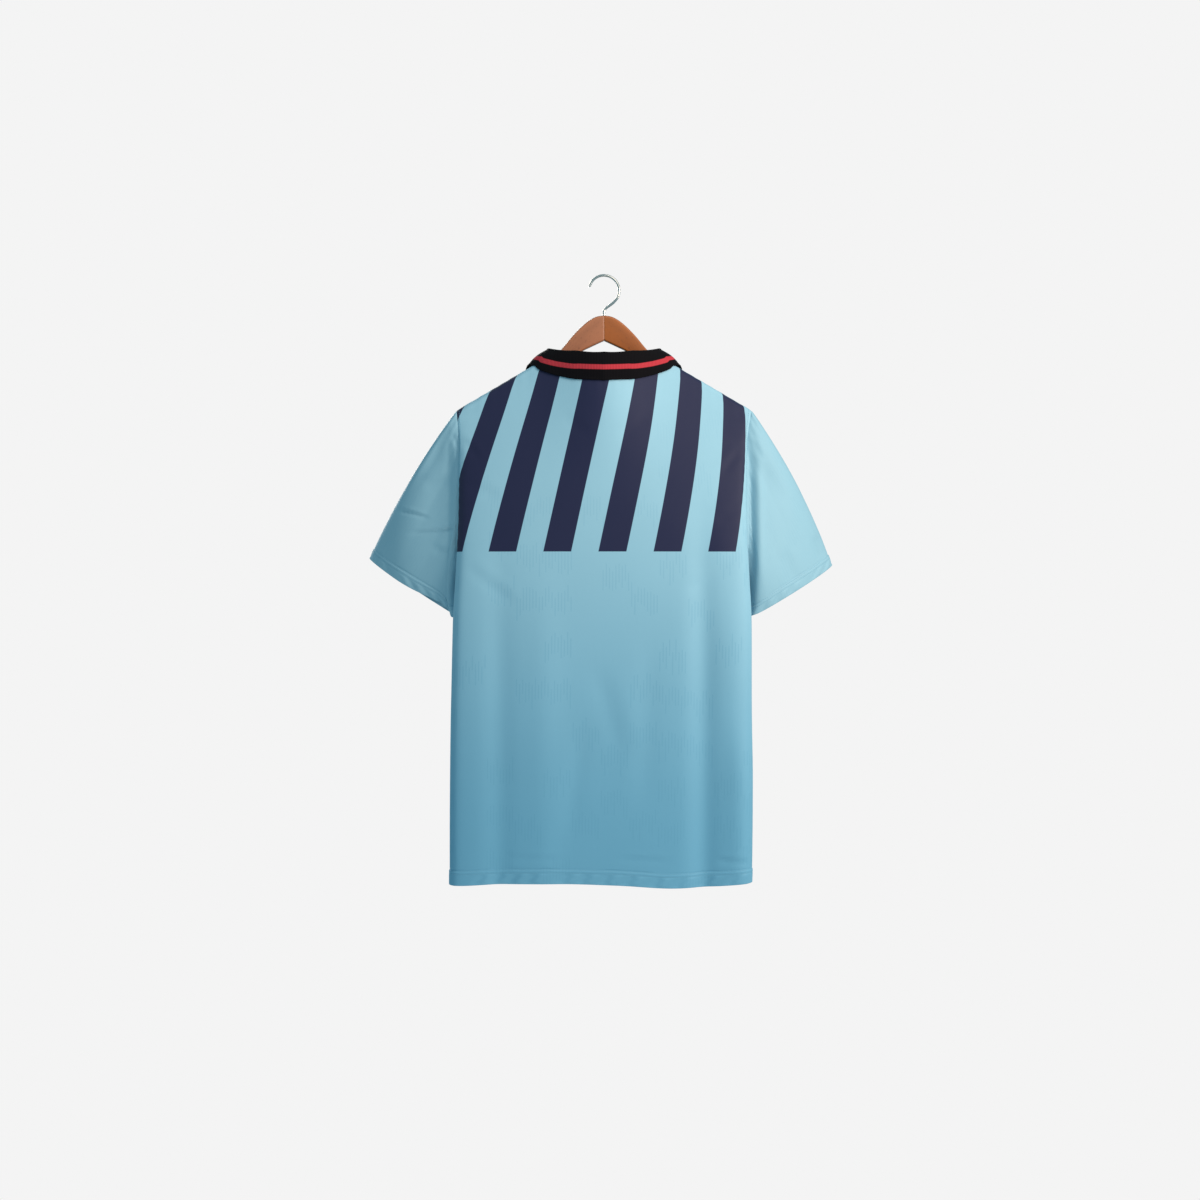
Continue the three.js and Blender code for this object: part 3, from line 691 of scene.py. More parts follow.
@functools.cache
def panel_surface(name):
    """Outer surface of a panel as a grid, with its smooth form, normals and cloth coordinates."""
    panel = PANELS[name]
    shares = column_shares()
    stations = np.linspace(0, ARMHOLE_STATIONS["station"][-1], ARMHOLE_STEPS + 1)
    ways = read(ARMHOLE_STATIONS, "station", "way", stations)
    upper_down = lerp(-TIP_Z, -UNDERARM_Z, ways)
    upper_x, upper_deep = section_rows(upper_down, read(ARMHOLE, "way", "deep", ways), shares)
    upper_deep[-1, [0, -1]] = 0
    upper_z = lerp(top_height(panel["neck"], upper_x), UNDERARM_Z, ways[:, None])

    hem = read(panel["hem"], "share", "down", shares)
    reach = BODY_HEM["reach"]
    body_rows = np.linspace(0, 1, BODY_ROWS + 1)[1:, None]
    lower_z = -np.concatenate([lerp(-UNDERARM_Z, hem - reach, body_rows), hem - hem_rows(reach)])
    lower_x, lower_deep = section_rows(-lower_z.mean(axis=1), np.zeros(len(lower_z)), shares)

    x = np.concatenate([upper_x, lower_x])
    z = np.concatenate([upper_z, lower_z])
    deep = np.concatenate([upper_deep, lower_deep])
    rounding = np.minimum(1, np.maximum(0, drop_at(x, z)) / TIP_ROUNDING_DROP)
    deep = 1 - (1 - deep) * rounding
    y = body_depth(panel, x, z) * deep + fold_depth(panel, x, z) * deep**FOLD_EDGE_POWER
    at_seam = np.zeros_like(x, bool)
    at_seam[ARMHOLE_STEPS:, [0, -1]] = True
    y[at_seam] = 0
    smooth = np.stack([x, panel["side"] * y, z], axis=-1)

    normals = grid_normals(smooth, panel["side"])
    shoulder = np.zeros_like(x, bool)
    shoulder[0] = np.abs(x[0]) >= NECK_X
    normals[at_seam | shoulder, 1] = 0
    normals = unit(normals)

    from_top = arc(smooth, 0)
    across = arc(smooth, 1)
    from_side = np.minimum(across, across[:, -1:] - across)
    from_middle = across - across[:, [len(shares) // 2]]
    height = hem[None, :] + z
    relief = crease_depth(CREASES[name], x, z) * np.minimum(1, deep**2)
    relief += hem_relief(BODY_HEM, height, x)
    on_side = smoothstep(-z, *ARMHOLE_PUCKERS_END)
    relief += pucker(from_side, -z) * (1 - on_side)
    relief += SIDE_PUCKERS["share"] * pucker(from_side, -z * SIDE_PUCKERS["stretch"]) * on_side
    relief += SHOULDER_PUCKER_SHARE * pucker(from_top, x)
    nearest = np.minimum(from_side, from_top)
    relief *= smoothstep(nearest, 0, SEAM_FLAT["panel"])
    relief -= SEAM_ROLL * np.exp(-((nearest / SEAM_ROLL_WIDTH) ** 2))
    outer = smooth + normals * relief[..., None]
    cloth = np.stack([from_middle, -z], axis=-1)
    return {"smooth": smooth, "outer": outer, "normals": normals, "cloth": cloth, "shares": shares}


def armhole_edge(side, which):
    """Edge of the two panels round one armhole: underarm, up the back, tip, down the front."""
    column = -1 if side > 0 else 0
    back, front = (panel_surface(name)[which][:ARMHOLE_STEPS + 1, column] for name in PANELS)
    return np.concatenate([back[::-1], front[1:]])


@functools.cache
def sleeve_surface(name):
    """Outer surface of a sleeve as a grid, sewn to the panels' edge and open at the underarm."""
    sleeve = SLEEVES[name]
    side = sleeve["side"]
    base = armhole_edge(side, "smooth")
    angle = np.linspace(math.pi, -math.pi, len(base))
    outer, inner = (
        np.array([side * x, 0, z]) for x, z in (sleeve["outer"], sleeve["inner"])
    )
    middle = (outer + inner) / 2
    tip = base[ARMHOLE_STEPS]
    top_line = (outer - tip) / np.linalg.norm(outer - tip)
    outward = np.array([-top_line[2] * side, 0, top_line[0] * side])
    cuff = middle + np.cos(angle)[:, None] * (outer - middle)
    cuff[:, 1] -= CUFF_HALF_DEPTH * np.sin(angle)
    cuff[:, 2] -= CUFF_SAG * np.abs(np.sin(angle))

    length = np.linalg.norm(cuff - base, axis=1)
    reach = CUFF_HEM["reach"]
    even = np.linspace(0, 1, SLEEVE_ROWS + 1)[:, None]
    even = even - SLEEVE_ROW_CROWDING * np.sin(math.pi * even) * (1 - even)
    way = np.concatenate([even * (1 - reach / length), 1 - hem_rows(reach) / length])
    smooth = lerp(base[None], cuff[None], way[..., None])
    swell = np.sin(math.pi * way) ** SLEEVE_SWELL_POWER
    smooth[..., 1] *= 1 + SLEEVE_ROUNDING * swell
    full = sleeve["fullness"] * swell * np.maximum(0, np.cos(angle))
    smooth += outward * full[..., None]
    arch = np.sqrt(np.sin(math.pi * np.clip(way, 0, 1)))
    smooth[..., 0] += side * UNDERARM_LIFT * arch * np.maximum(0, -np.cos(angle))
    past_start = np.maximum(0, (way - SWING_START) / (1 - SWING_START))
    swung = (0.5 + 0.5 * np.cos(angle)) * past_start**SWING_POWER
    smooth += swung[..., None] * sleeve["swing"] * np.array([side, 1, 1])
    normals = grid_normals(smooth, -side)

    x, z = smooth[..., 0], smooth[..., 2]
    from_top = arc(smooth, 0)
    around = arc(smooth, 1)
    height = from_top[-1:] - from_top
    is_back = smoothstep(np.sin(angle), -BACK_TO_FRONT, BACK_TO_FRONT)
    beside = side * x - SINK_START
    sink = smoothstep(beside, 0, SINK_REACH["steep"])
    sink *= 1 - smoothstep(beside, SINK_REACH["level"], SINK_REACH["gone"])
    sink *= SLEEVE_SINK[name] * smoothstep(-z, *SINK_DOWN)
    sink *= smoothstep(np.sin(angle), *SINK_ROUND)
    relief = crease_depth(CREASES[name], x, z) * is_back - sink
    relief += crease_depth(CREASES[name + "_front"], x, z) * (1 - is_back)
    from_middle = around - around[:, [ARMHOLE_STEPS]]
    relief += hem_relief(CUFF_HEM, height, from_middle)
    relief += pucker(from_top, around[:1] + SLEEVE_PUCKERS["start"]) * SLEEVE_PUCKERS["share"]
    relief *= smoothstep(from_top, 0, SEAM_FLAT["sleeve"])
    shaped = smooth + normals * relief[..., None]
    sewn = armhole_edge(side, "outer") - shaped[0]
    shaped += sewn * np.exp(-((from_top / SEAM_ROLL_WIDTH) ** 2))[..., None]
    shaped[0] += SEAM_HALF_GAP * unit(shaped[1] - shaped[0])
    shaped[:, 0, 1] -= SEAM_HALF_GAP
    shaped[:, -1, 1] += SEAM_HALF_GAP
    cloth = np.stack([from_middle, from_top], axis=-1)
    return {"outer": shaped, "normals": normals, "cloth": cloth}


def neck_loop(which):
    """Neck edge of the panels from the V round the right neck point and the back to the V again."""
    shares = panel_surface("back")["shares"]
    last = NECK_SHARE * (2 - COLLAR_END_PLACE)
    neck = np.abs(shares) <= NECK_SHARE + 1e-9
    right = np.flatnonzero(neck & (shares >= last))
    left = np.flatnonzero(neck & (shares <= -last))
    around_back = np.flatnonzero(neck)[::-1][1:-1]
    back, front = (panel_surface(name)[which][0] for name in PANELS)
    points = np.concatenate([front[right], back[around_back], front[left]])
    share = np.concatenate([shares[right], shares[around_back], shares[left]])
    place = np.abs(share) / NECK_SHARE
    place[:len(right)] = 2 - place[:len(right)]
    place[-len(left):] = 2 - place[-len(left):]
    return points, place, np.sign(share)


def clear_of_body(points, place):
    """Lifts the collar's fall off the panels: outwards, and by degrees upwards near the ridge."""
    x, y, z = points[..., 0], points[..., 1], points[..., 2]
    drops = np.linspace(*COLLAR_CLEARING_DROPS)
    upwards = 1 - smoothstep(np.abs(place - 1), 0, COLLAR_RIDGE_SPAN)
    steps = [(name, panel) for name, panel in PANELS.items() for _ in range(COLLAR_CLEARING_STEPS)]
    for name, panel in steps:
        mine = (place <= 1 if name == "back" else place > 1)[None, :] & np.ones_like(x, bool)
        least = body_depth(panel, x, z) + COLLAR_GAP
        push = np.where(drop_at(x, z) > 0, np.maximum(0, least - y * panel["side"]), 0)
        room = np.abs(y) - COLLAR_GAP
        allowed = np.where(
            room > 0,
            np.interp(room, depth_at(drops), drops),
            -np.sqrt(np.maximum(0, COLLAR_GAP**2 - y**2)),
        )
        lift = np.maximum(0, drop_at(x, z) - allowed)
        y += mine * (1 - upwards) * push * panel["side"]
        z += mine * upwards * lift


@functools.cache
def collar_surface():
    """Under side of the collar as a grid: up the stand, over the fold and down the fall."""
    seam, place, side = neck_loop("smooth")
    seam = seam.copy()
    turn = place * math.pi / 2
    out = np.stack([side * np.sin(turn), -np.cos(turn), np.zeros_like(turn)], axis=-1)
    up = np.array([0, 0, 1.0])
    stand_top = seam + read(COLLAR, "place", "stand", place)[:, None] * up
    stand = [lerp(seam, stand_top, t) for t in np.linspace(0, 1, COLLAR_ROWS["stand"])]
    radius = COLLAR_FOLD_RADIUS
    fold = [
        stand_top + radius * (1 - math.cos(t)) * out + radius * math.sin(t) * up
        for t in np.linspace(0, math.pi, COLLAR_ROWS["fold"])[1:]
    ]

    knots, knot_x, knot_down = (np.array(COLLAR[key], float) for key in ("place", "edge_x", "edge_down"))
    knot_y = np.zeros_like(knots)
    for i, (at, x, down) in enumerate(zip(knots, knot_x, knot_down)):
        panel = PANELS["back" if at < 1 else "front"]
        if at != 1:
            knot_y[i] = (body_depth(panel, x, -down) + COLLAR_GAP) * panel["side"]
    edges = {"place": knots, "x": knot_x, "y": knot_y, "z": -knot_down}
    edge = np.stack([read(edges, "place", axis, place) for axis in "xyz"], axis=-1)
    edge[:, 0] *= side
    curved = out + COLLAR_FALL_LIFT * up
    fall = np.stack([
        lerp(fold[-1], edge, t) + COLLAR_FALL_CURVE * math.sin(math.pi * t) * curved
        for t in np.linspace(0, 1, COLLAR_ROWS["fall"] + 1)[1:]
    ])
    clear_of_body(fall, place)
    smooth = np.concatenate([np.stack(stand + fold), fall])
    sewn = neck_loop("outer")[0] - seam
    falloff = np.exp(-((arc(smooth, 0) / SEAM_ROLL_WIDTH) ** 2))
    smooth = smooth + sewn * falloff[..., None]
    smooth[0] += 2 * SEAM_HALF_GAP * up
    normals = grid_normals(smooth, 1)
    along = arc(smooth, 1)
    from_edge = arc(smooth[::-1], 0)[::-1]
    middle = along[:, [along.shape[1] // 2]]
    cloth = np.stack([along - middle, from_edge], axis=-1)
    return {"smooth": smooth, "normals": normals, "cloth": cloth}


def add_shell(name, outer, inner, cloth, free_sides):
    """A closed cloth mesh from its outer and inner grids, rounded along the edges that are free."""
    rows, columns = outer.shape[:2]
    top = [(0, c) for c in range(columns)]
    right = [(r, columns - 1) for r in range(1, rows)]
    bottom = [(rows - 1, c) for c in range(columns - 2, -1, -1)]
    left = [(r, 0) for r in range(rows - 2, 0, -1)]
    rim = top + right + bottom + left
    sides = {"top": top, "right": right, "bottom": bottom, "left": left}
    free = {place for side in free_sides for place in sides[side]}
    middles = []
    for r, c in rim:
        a, b = outer[r, c], inner[r, c]
        near = outer[min(max(r, 1), rows - 2), min(max(c, 1), columns - 2)]
        away = unit(a - near)
        away = away - np.dot(away, unit(a - b)) * unit(a - b)
        bulge = RIM_BULGE * np.linalg.norm(a - b) if (r, c) in free else 0
        middles.append((a + b) / 2 + bulge * unit(away))
    count = rows * columns
    points = np.concatenate([outer.reshape(-1, 3), inner.reshape(-1, 3), np.array(middles)])
    ids = np.arange(count).reshape(rows, columns)
    quads = np.stack([ids[:-1, :-1], ids[:-1, 1:], ids[1:, 1:], ids[1:, :-1]], axis=-1)
    outside = quads.reshape(-1, 4)
    inside = outside[:, ::-1] + count
    edge = np.array([ids[place] for place in rim])
    after = np.roll(edge, -1)
    mid = 2 * count + np.arange(len(rim))
    mid_after = np.roll(mid, -1)
    bands = [
        np.stack([after, edge, mid, mid_after], axis=-1),
        np.stack([mid_after, mid, edge + count, after + count], axis=-1),
    ]
    faces = np.concatenate([outside, inside, *bands])
    corners = points[faces]
    fans = np.cross(corners[:, 1] - corners[:, 0], corners[:, 2] - corners[:, 0])
    fans += np.cross(corners[:, 2] - corners[:, 0], corners[:, 3] - corners[:, 0])
    if np.sum(fans * corners.mean(axis=1)) < 0:
        faces = faces[:, ::-1]
    along = cloth.reshape(-1, 2)
    coordinates = np.concatenate([along, along, [cloth[place] for place in rim]])
    return add_mesh(name, points, faces.tolist(), coordinates, CLOTH_SHARP)


def place_object(name, data):
    """An object at the origin, linked to the scene."""
    item = bpy.data.objects.new(name, data)
    bpy.context.scene.collection.objects.link(item)
    return item


def shade_smooth(mesh, sharp):
    """Smooth shading, apart from edges that are sharper than an angle in degrees."""
    mesh.polygons.foreach_set("use_smooth", [True] * len(mesh.polygons))
    mesh.set_sharp_from_angle(angle=math.radians(sharp))


def add_mesh(name, points, faces, coordinates, sharp):
    """An object from points in millimetres, with coordinates of its own along the surface."""
    mesh = bpy.data.meshes.new(name)
    mesh.from_pydata((points * MM).tolist(), [], faces)
    layer = mesh.uv_layers.new(name=CLOTH_UV)
    loops = np.empty(len(mesh.loops), int)
    mesh.loops.foreach_get("vertex_index", loops)
    layer.data.foreach_set("uv", (coordinates[loops] * MM).ravel())
    shade_smooth(mesh, sharp)
    return place_object(name, mesh)


def finished_mesh(item):
    """The plain mesh that an object's modifiers or its bevel make."""
    graph = bpy.context.evaluated_depsgraph_get()
    return bpy.data.meshes.new_from_object(item.evaluated_get(graph))


def dress(piece, material, slot, *nodes):
    """Gives a piece its material and its place in the frame."""
    piece.data.materials.clear()
    piece.data.materials.append(material)
    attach(piece, BODY)
    if nodes:
        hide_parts(*nodes)


def add(tree, kind, inputs=(), **settings):
    """Adds a node, with its settings and its inputs, which are given in order or by socket.

    An input is a value, a socket to link from, or a node to link from by its first socket.
    """
    node = tree.nodes.new(kind)
    for name, value in settings.items():
        setattr(node, name, value)
    for socket, value in inputs.items() if isinstance(inputs, dict) else enumerate(inputs):
        if isinstance(value, bpy.types.Node):
            value = value.outputs[0]
        if isinstance(value, bpy.types.NodeSocket):
            tree.links.new(value, node.inputs[socket])
        else:
            node.inputs[socket].default_value = value
    return node


def new_material(name):
    """A material without nodes, and its tree."""
    material = bpy.data.materials.new(name)
    material.use_nodes = True
    material.node_tree.nodes.clear()
    return material, material.node_tree


def toned(colour, share):
    """A linear colour made darker or paler."""
    return [min(1.0, share * part) for part in colour[:3]] + [1.0]


def satin_knit(name, bars):
    """Warp-knitted polyester, dyed and printed: a soft satin gloss, fine loops, tonal dashes, and
    painted shade that darkens it towards the hem and on the sleeves.
    """
    cloth = bpy.context.scene.jersey_cloth
    material, tree = new_material(name)
    place = add(tree, "ShaderNodeUVMap", uv_map=CLOTH_UV)
    parts = add(tree, "ShaderNodeSeparateXYZ", [place])
    u, v = parts.outputs[0], parts.outputs[1]

    # Tonal dashes of the knit: each line of a row has its own start and length
    line = add(tree, "ShaderNodeMath", (u, 1 / DASH["line"]), operation="MULTIPLY")
    group = add(tree, "ShaderNodeMath", (line, 1 / DASH["group"]), operation="MULTIPLY")
    line_id = add(tree, "ShaderNodeMath", [line], operation="FLOOR")
    group_id = add(tree, "ShaderNodeMath", [group], operation="FLOOR")
    stagger = add(tree, "ShaderNodeTexWhiteNoise", {"W": group_id}, noise_dimensions="1D")
    row = add(tree, "ShaderNodeMath", (v, 1 / DASH["row"], stagger), operation="MULTIPLY_ADD")
    row_id = add(tree, "ShaderNodeMath", [row], operation="FLOOR")
    row_way = add(tree, "ShaderNodeMath", [row], operation="FRACT")
    cell = add(tree, "ShaderNodeCombineXYZ", (line_id, row_id))
    draw = add(tree, "ShaderNodeTexWhiteNoise", {"Vector": cell}, noise_dimensions="2D")
    draws = add(tree, "ShaderNodeSeparateColor", [draw.outputs["Color"]])
    start = add(tree, "ShaderNodeMath", (draws, DASH["late"]), operation="MULTIPLY")
    length = add(
        tree, "ShaderNodeMath", (draws.outputs[1], DASH["longer"], DASH["shortest"]),
        operation="MULTIPLY_ADD",
    )
    stop = add(tree, "ShaderNodeMath", (start, length), operation="ADD")
    begun = add(tree, "ShaderNodeMath", (row_way, start), operation="GREATER_THAN")
    going_on = add(tree, "ShaderNodeMath", (stop, row_way), operation="GREATER_THAN")
    block = add(tree, "ShaderNodeCombineXYZ", (group_id, row_id, BLOCK_SEED))
    block_draw = add(tree, "ShaderNodeTexWhiteNoise", {"Vector": block}, noise_dimensions="3D")
    filled = add(tree, "ShaderNodeMath", (block_draw, DASH["bare"]), operation="GREATER_THAN")
    in_line = add(tree, "ShaderNodeMath", [line], operation="FRACT")
    thin = add(tree, "ShaderNodeMath", (DASH["thin"], in_line), operation="GREATER_THAN")
    dash = begun
    for share in (going_on, filled, thin):
        dash = add(tree, "ShaderNodeMath", (dash, share), operation="MULTIPLY")
    # They show on the body's lower half, and hardly above it and on the sleeves
    strength = add(tree, "ShaderNodeMapRange", (v, *DASH_DEEPENS))
    faint = add(tree, "ShaderNodeMath", (dash, strength), operation="MULTIPLY")
    # Painted shade: the ground darkens from the top towards the hem, standing in for light that falls
    # off downwards
    shade_toward_hem = add(tree, "ShaderNodeMapRange", (v, *PAINTED_SHADE_DOWN), interpolation_type="SMOOTHSTEP")
    sky = add(tree, "ShaderNodeMix", {0: shade_toward_hem, 6: cloth.sky, 7: cloth.sky_painted_shade}, data_type="RGBA")
    ground = add(
        tree, "ShaderNodeMix", {0: faint, 6: sky.outputs[2], 7: cloth.sky_shadow}, data_type="RGBA"
    )

    # Clouds of 150 mm, from uneven dyeing. The sleeves' plain cloth is made darker by painted shade.
    clouds = add(tree, "ShaderNodeTexNoise", {
        "Vector": place, "Scale": CLOUDS["scale"], "Detail": 2.0,
    })
    least = CLOUDS["printed" if bars else "plain"]
    tone = add(tree, "ShaderNodeMapRange", (clouds, 0, 1, least, least + CLOUDS["range"]))
    colour = add(
        tree, "ShaderNodeMix", {0: 1.0, 6: ground.outputs[2], 7: tone},
        data_type="RGBA", blend_type="MULTIPLY",
    )
    if bars:
        slant = math.tan(math.radians(BARS["lean"]))
        lean = add(tree, "ShaderNodeMath", (v, slant, u), operation="MULTIPLY_ADD")
        bar = add(tree, "ShaderNodeMath", (lean, 1 / BARS["apart"]), operation="MULTIPLY")
        within = add(tree, "ShaderNodeMath", [bar], operation="FRACT")
        before_stop = add(tree, "ShaderNodeMapRange", (within, *BARS["stop"], 1.0, 0.0))
        after_begin = add(tree, "ShaderNodeMapRange", (within, *BARS["begin"]))
        above_end = add(tree, "ShaderNodeMapRange", (v, *BARS_END, 1.0, 0.0))
        print_area = add(tree, "ShaderNodeMath", (before_stop, after_begin), operation="MULTIPLY")
        print_area = add(tree, "ShaderNodeMath", (print_area, above_end), operation="MULTIPLY")
        colour = add(
            tree, "ShaderNodeMix", {0: print_area, 6: colour.outputs[2], 7: cloth.navy},
            data_type="RGBA",
        )

    loops = add(tree, "ShaderNodeTexVoronoi", {
        "Vector": place, "Scale": 1 / KNIT_LOOP, "Randomness": 0.1,
    })
    height = add(tree, "ShaderNodeMath", (faint, -1.0, loops), operation="MULTIPLY_ADD")
    bump = add(tree, "ShaderNodeBump", {"Strength": 0.35, "Distance": 0.00025, "Height": height})
    rough = add(tree, "ShaderNodeMapRange", (clouds, 0, 1, *KNIT_ROUGH))
    shader = add(tree, "ShaderNodeBsdfPrincipled", {
        "Base Color": colour.outputs[2], "Roughness": rough, "Normal": bump,
        "IOR": 1.5, "Specular IOR Level": 0.25, "Sheen Weight": 0.12, "Sheen Roughness": 0.5,
        "Sheen Tint": (1.0, 1.0, 1.0, 1.0),
    })
    add(tree, "ShaderNodeOutputMaterial", [shader])
    return material


def rib_knit():
    """Flat-knitted cotton and polyester rib: matt, deep black, with fine ribs and a red stripe."""
    collar = bpy.context.scene.jersey_collar
    material, tree = new_material("black_flat_knit_rib")
    place = add(tree, "ShaderNodeUVMap", uv_map=CLOTH_UV)
    # The stripe lies higher above the edge at the middle of the back than beyond the shoulders
    parts = add(tree, "ShaderNodeSeparateXYZ", [place])
    sideways = add(tree, "ShaderNodeMath", [parts], operation="ABSOLUTE")
    low = add(tree, "ShaderNodeMapRange", (sideways, *STRIPE_LOW))
    above = add(tree, "ShaderNodeMath", (parts.outputs[1], low), operation="SUBTRACT")
    high = collar.stripe_width
    begin = add(tree, "ShaderNodeMapRange", (above, 0.0, STRIPE_FADE))
    end = add(tree, "ShaderNodeMapRange", (above, high - STRIPE_FADE, high, 1.0, 0.0))
    stripe = add(tree, "ShaderNodeMath", (begin, end), operation="MULTIPLY")
    ribs = add(tree, "ShaderNodeTexWave", {"Vector": place, "Scale": WAVE / RIB})
    # Painted shade in the grooves between the ribs, and a painted highlight on the ribs
    tone = add(tree, "ShaderNodeMapRange", (ribs.outputs["Fac"], 0, 1, *RIB_PAINTED_SHADE))
    dyed = add(tree, "ShaderNodeMix", {0: stripe, 6: collar.black, 7: collar.red}, data_type="RGBA")
    colour = add(
        tree, "ShaderNodeMix", {0: 1.0, 6: dyed.outputs[2], 7: tone},
        data_type="RGBA", blend_type="MULTIPLY",
    )
    fuzz = add(tree, "ShaderNodeTexNoise", {"Vector": place, "Scale": 900.0, "Detail": 3.0})
    height = add(
        tree, "ShaderNodeMath", (fuzz, RIB_FUZZ, ribs.outputs["Fac"]), operation="MULTIPLY_ADD"
    )
    bump = add(tree, "ShaderNodeBump", {"Strength": 0.5, "Distance": 0.0004, "Height": height})
    shader = add(tree, "ShaderNodeBsdfPrincipled", {
        "Base Color": colour.outputs[2], "Roughness": 0.85, "Normal": bump, "IOR": 1.5,
        "Specular IOR Level": 0.12, "Sheen Weight": 0.05, "Sheen Roughness": 0.4,
    })
    add(tree, "ShaderNodeOutputMaterial", [shader])
    return material


def spun_thread():
    """Spun polyester thread: two plies with a soft gloss."""
    thread = bpy.context.scene.jersey_stitching.thread
    material, tree = new_material("polyester_thread")
    place = add(tree, "ShaderNodeTexCoord").outputs["Object"]
    waves = {"Vector": place, "Scale": WAVE / PLY}
    plies = add(tree, "ShaderNodeTexWave", waves, bands_direction="DIAGONAL").outputs["Fac"]
    # Painted shade: the thread is darker in the grooves between its plies
    dark = toned(thread, THREAD_SHADE)
    colour = add(tree, "ShaderNodeMix", {0: plies, 6: dark, 7: thread}, data_type="RGBA")
    bump = add(tree, "ShaderNodeBump", {"Strength": 0.3, "Distance": 0.0001, "Height": plies})
    shader = add(tree, "ShaderNodeBsdfPrincipled", {
        "Base Color": colour.outputs[2], "Roughness": 0.5, "Normal": bump, "Sheen Weight": 0.2,
    })
    add(tree, "ShaderNodeOutputMaterial", [shader])
    return material


def varnished_beech(name, colour):
    """Steamed beech, stained and varnished: fine grain along the arm under a clear gloss."""
    material, tree = new_material(name)
    place = add(tree, "ShaderNodeUVMap", uv_map=CLOTH_UV)
    # Grain lines 2 to 5 mm wide and some 80 mm long, and pores 0.4 mm wide and 5 mm long
    stretched = add(tree, "ShaderNodeMapping", {0: place, 3: WOOD_GRAIN["repeats"]})
    grain = add(tree, "ShaderNodeTexNoise", {
        "Vector": stretched, "Scale": 1.0, "Detail": 6.0, "Distortion": 0.6,
    })
    fine = add(tree, "ShaderNodeMapping", {0: place, 3: WOOD_PORES["repeats"]})
    pores = add(tree, "ShaderNodeTexNoise", {"Vector": fine, "Scale": 1.0, "Detail": 2.0})
    pore = add(tree, "ShaderNodeMapRange", (pores, *WOOD_PORES["shown"]))
    line = add(tree, "ShaderNodeMapRange", (grain, *WOOD_GRAIN["shown"]))
    dark, pale = (toned(colour, WOOD_TONES[key]) for key in ("dark", "pale"))
    wood = add(tree, "ShaderNodeMix", {0: line, 6: dark, 7: pale}, data_type="RGBA")
    soft = add(
        tree, "ShaderNodeMix", {0: WOOD_GRAIN["softened"], 6: wood.outputs[2], 7: colour},
        data_type="RGBA",
    )
    pitted = add(tree, "ShaderNodeMix", {0: pore, 6: soft.outputs[2], 7: dark}, data_type="RGBA")
    rough = add(tree, "ShaderNodeMapRange", (grain, 0, 1, *WOOD_ROUGH))
    bump = add(tree, "ShaderNodeBump", {"Strength": 0.25, "Distance": 0.0002, "Height": pores})
    shader = add(tree, "ShaderNodeBsdfPrincipled", {
        "Base Color": pitted.outputs[2], "Roughness": rough, "Normal": bump, "IOR": 1.5,
        "Coat Weight": 0.3, "Coat Roughness": 0.22, "Coat IOR": 1.5,
    })
    add(tree, "ShaderNodeOutputMaterial", [shader])
    return material


def nickel_wire():
    """Nickel-plated steel wire: warm grey mirror with faint drawing marks."""
    material, tree = new_material("nickel_plated_wire")
    place = add(tree, "ShaderNodeTexCoord").outputs["Object"]
    # Marks about 1 mm apart, left by the drawing die
    marks = add(tree, "ShaderNodeTexNoise", {"Vector": place, "Scale": 900.0, "Detail": 3.0})
    rough = add(tree, "ShaderNodeMapRange", (marks, 0, 1, *WIRE_ROUGH))
    bump = add(tree, "ShaderNodeBump", {"Strength": 0.15, "Distance": 0.00005, "Height": marks})
    shader = add(tree, "ShaderNodeBsdfPrincipled", {
        "Base Color": bpy.context.scene.jersey_hanger.nickel, "Metallic": 1.0,
        "Roughness": rough, "Normal": bump,
    })
    add(tree, "ShaderNodeOutputMaterial", [shader])
    return material


@functools.cache
def finish_of(name):
    """Each material is made once."""
    hanger = bpy.context.scene.jersey_hanger
    makers = {
        "printed_satin_knit": lambda: satin_knit("printed_satin_knit", True),
        "plain_satin_knit": lambda: satin_knit("plain_satin_knit", False),
        "rib": rib_knit,
        "thread": spun_thread,
        "left": lambda: varnished_beech("varnished_beech_pale", tuple(hanger.pale_wood)),
        "right": lambda: varnished_beech("varnished_beech_brown", tuple(hanger.brown_wood)),
        "nickel": nickel_wire,
    }
    return makers[name]()


class JERSEY_OT_cut_panels(Operator):
    """Make the back and front panels"""

    bl_idname = "jersey.cut_panels"
    bl_label = "Cut panels"

    def execute(self, context):
        thickness = context.scene.jersey_cloth.thickness / MM
        for name in PANELS:
            surface = panel_surface(name)
            outer = surface["outer"].copy()
            parted = PANELS[name]["side"] * SEAM_HALF_GAP
            outer[0, :, 1] += parted
            outer[ARMHOLE_STEPS:, [0, -1], 1] += parted
            inner = outer - surface["normals"] * thickness
            piece = add_shell(f"{name}_cloth", outer, inner, surface["cloth"], ["bottom"])
            dress(piece, finish_of("printed_satin_knit"), "jersey_knit", f"{name}_panel")
        return {"FINISHED"}


class JERSEY_OT_set_sleeves(Operator):
    """Make the two sleeves"""

    bl_idname = "jersey.set_sleeves"
    bl_label = "Set sleeves"

    def execute(self, context):
        thickness = context.scene.jersey_cloth.thickness / MM
        for name in SLEEVES:
            surface = sleeve_surface(name)
            outer = surface["outer"]
            inner = outer - surface["normals"] * thickness
            piece = add_shell(f"sleeve_{name}_cloth", outer, inner, surface["cloth"], ["bottom"])
            dress(piece, finish_of("plain_satin_knit"), "jersey_knit", f"sleeve_{name}")
        return {"FINISHED"}


class JERSEY_OT_fold_collar(Operator):
    """Make the fold-down collar"""

    bl_idname = "jersey.fold_collar"
    bl_label = "Fold collar"

    def execute(self, context):
        surface = collar_surface()
        thickness = context.scene.jersey_collar.thickness / MM
        inner = surface["smooth"]
        outer = inner + surface["normals"] * thickness
        piece = add_shell("collar_rib", outer, inner, surface["cloth"], ["left", "bottom", "right"])
        dress(piece, finish_of("rib"), "collar_knit", "collar")
        return {"FINISHED"}


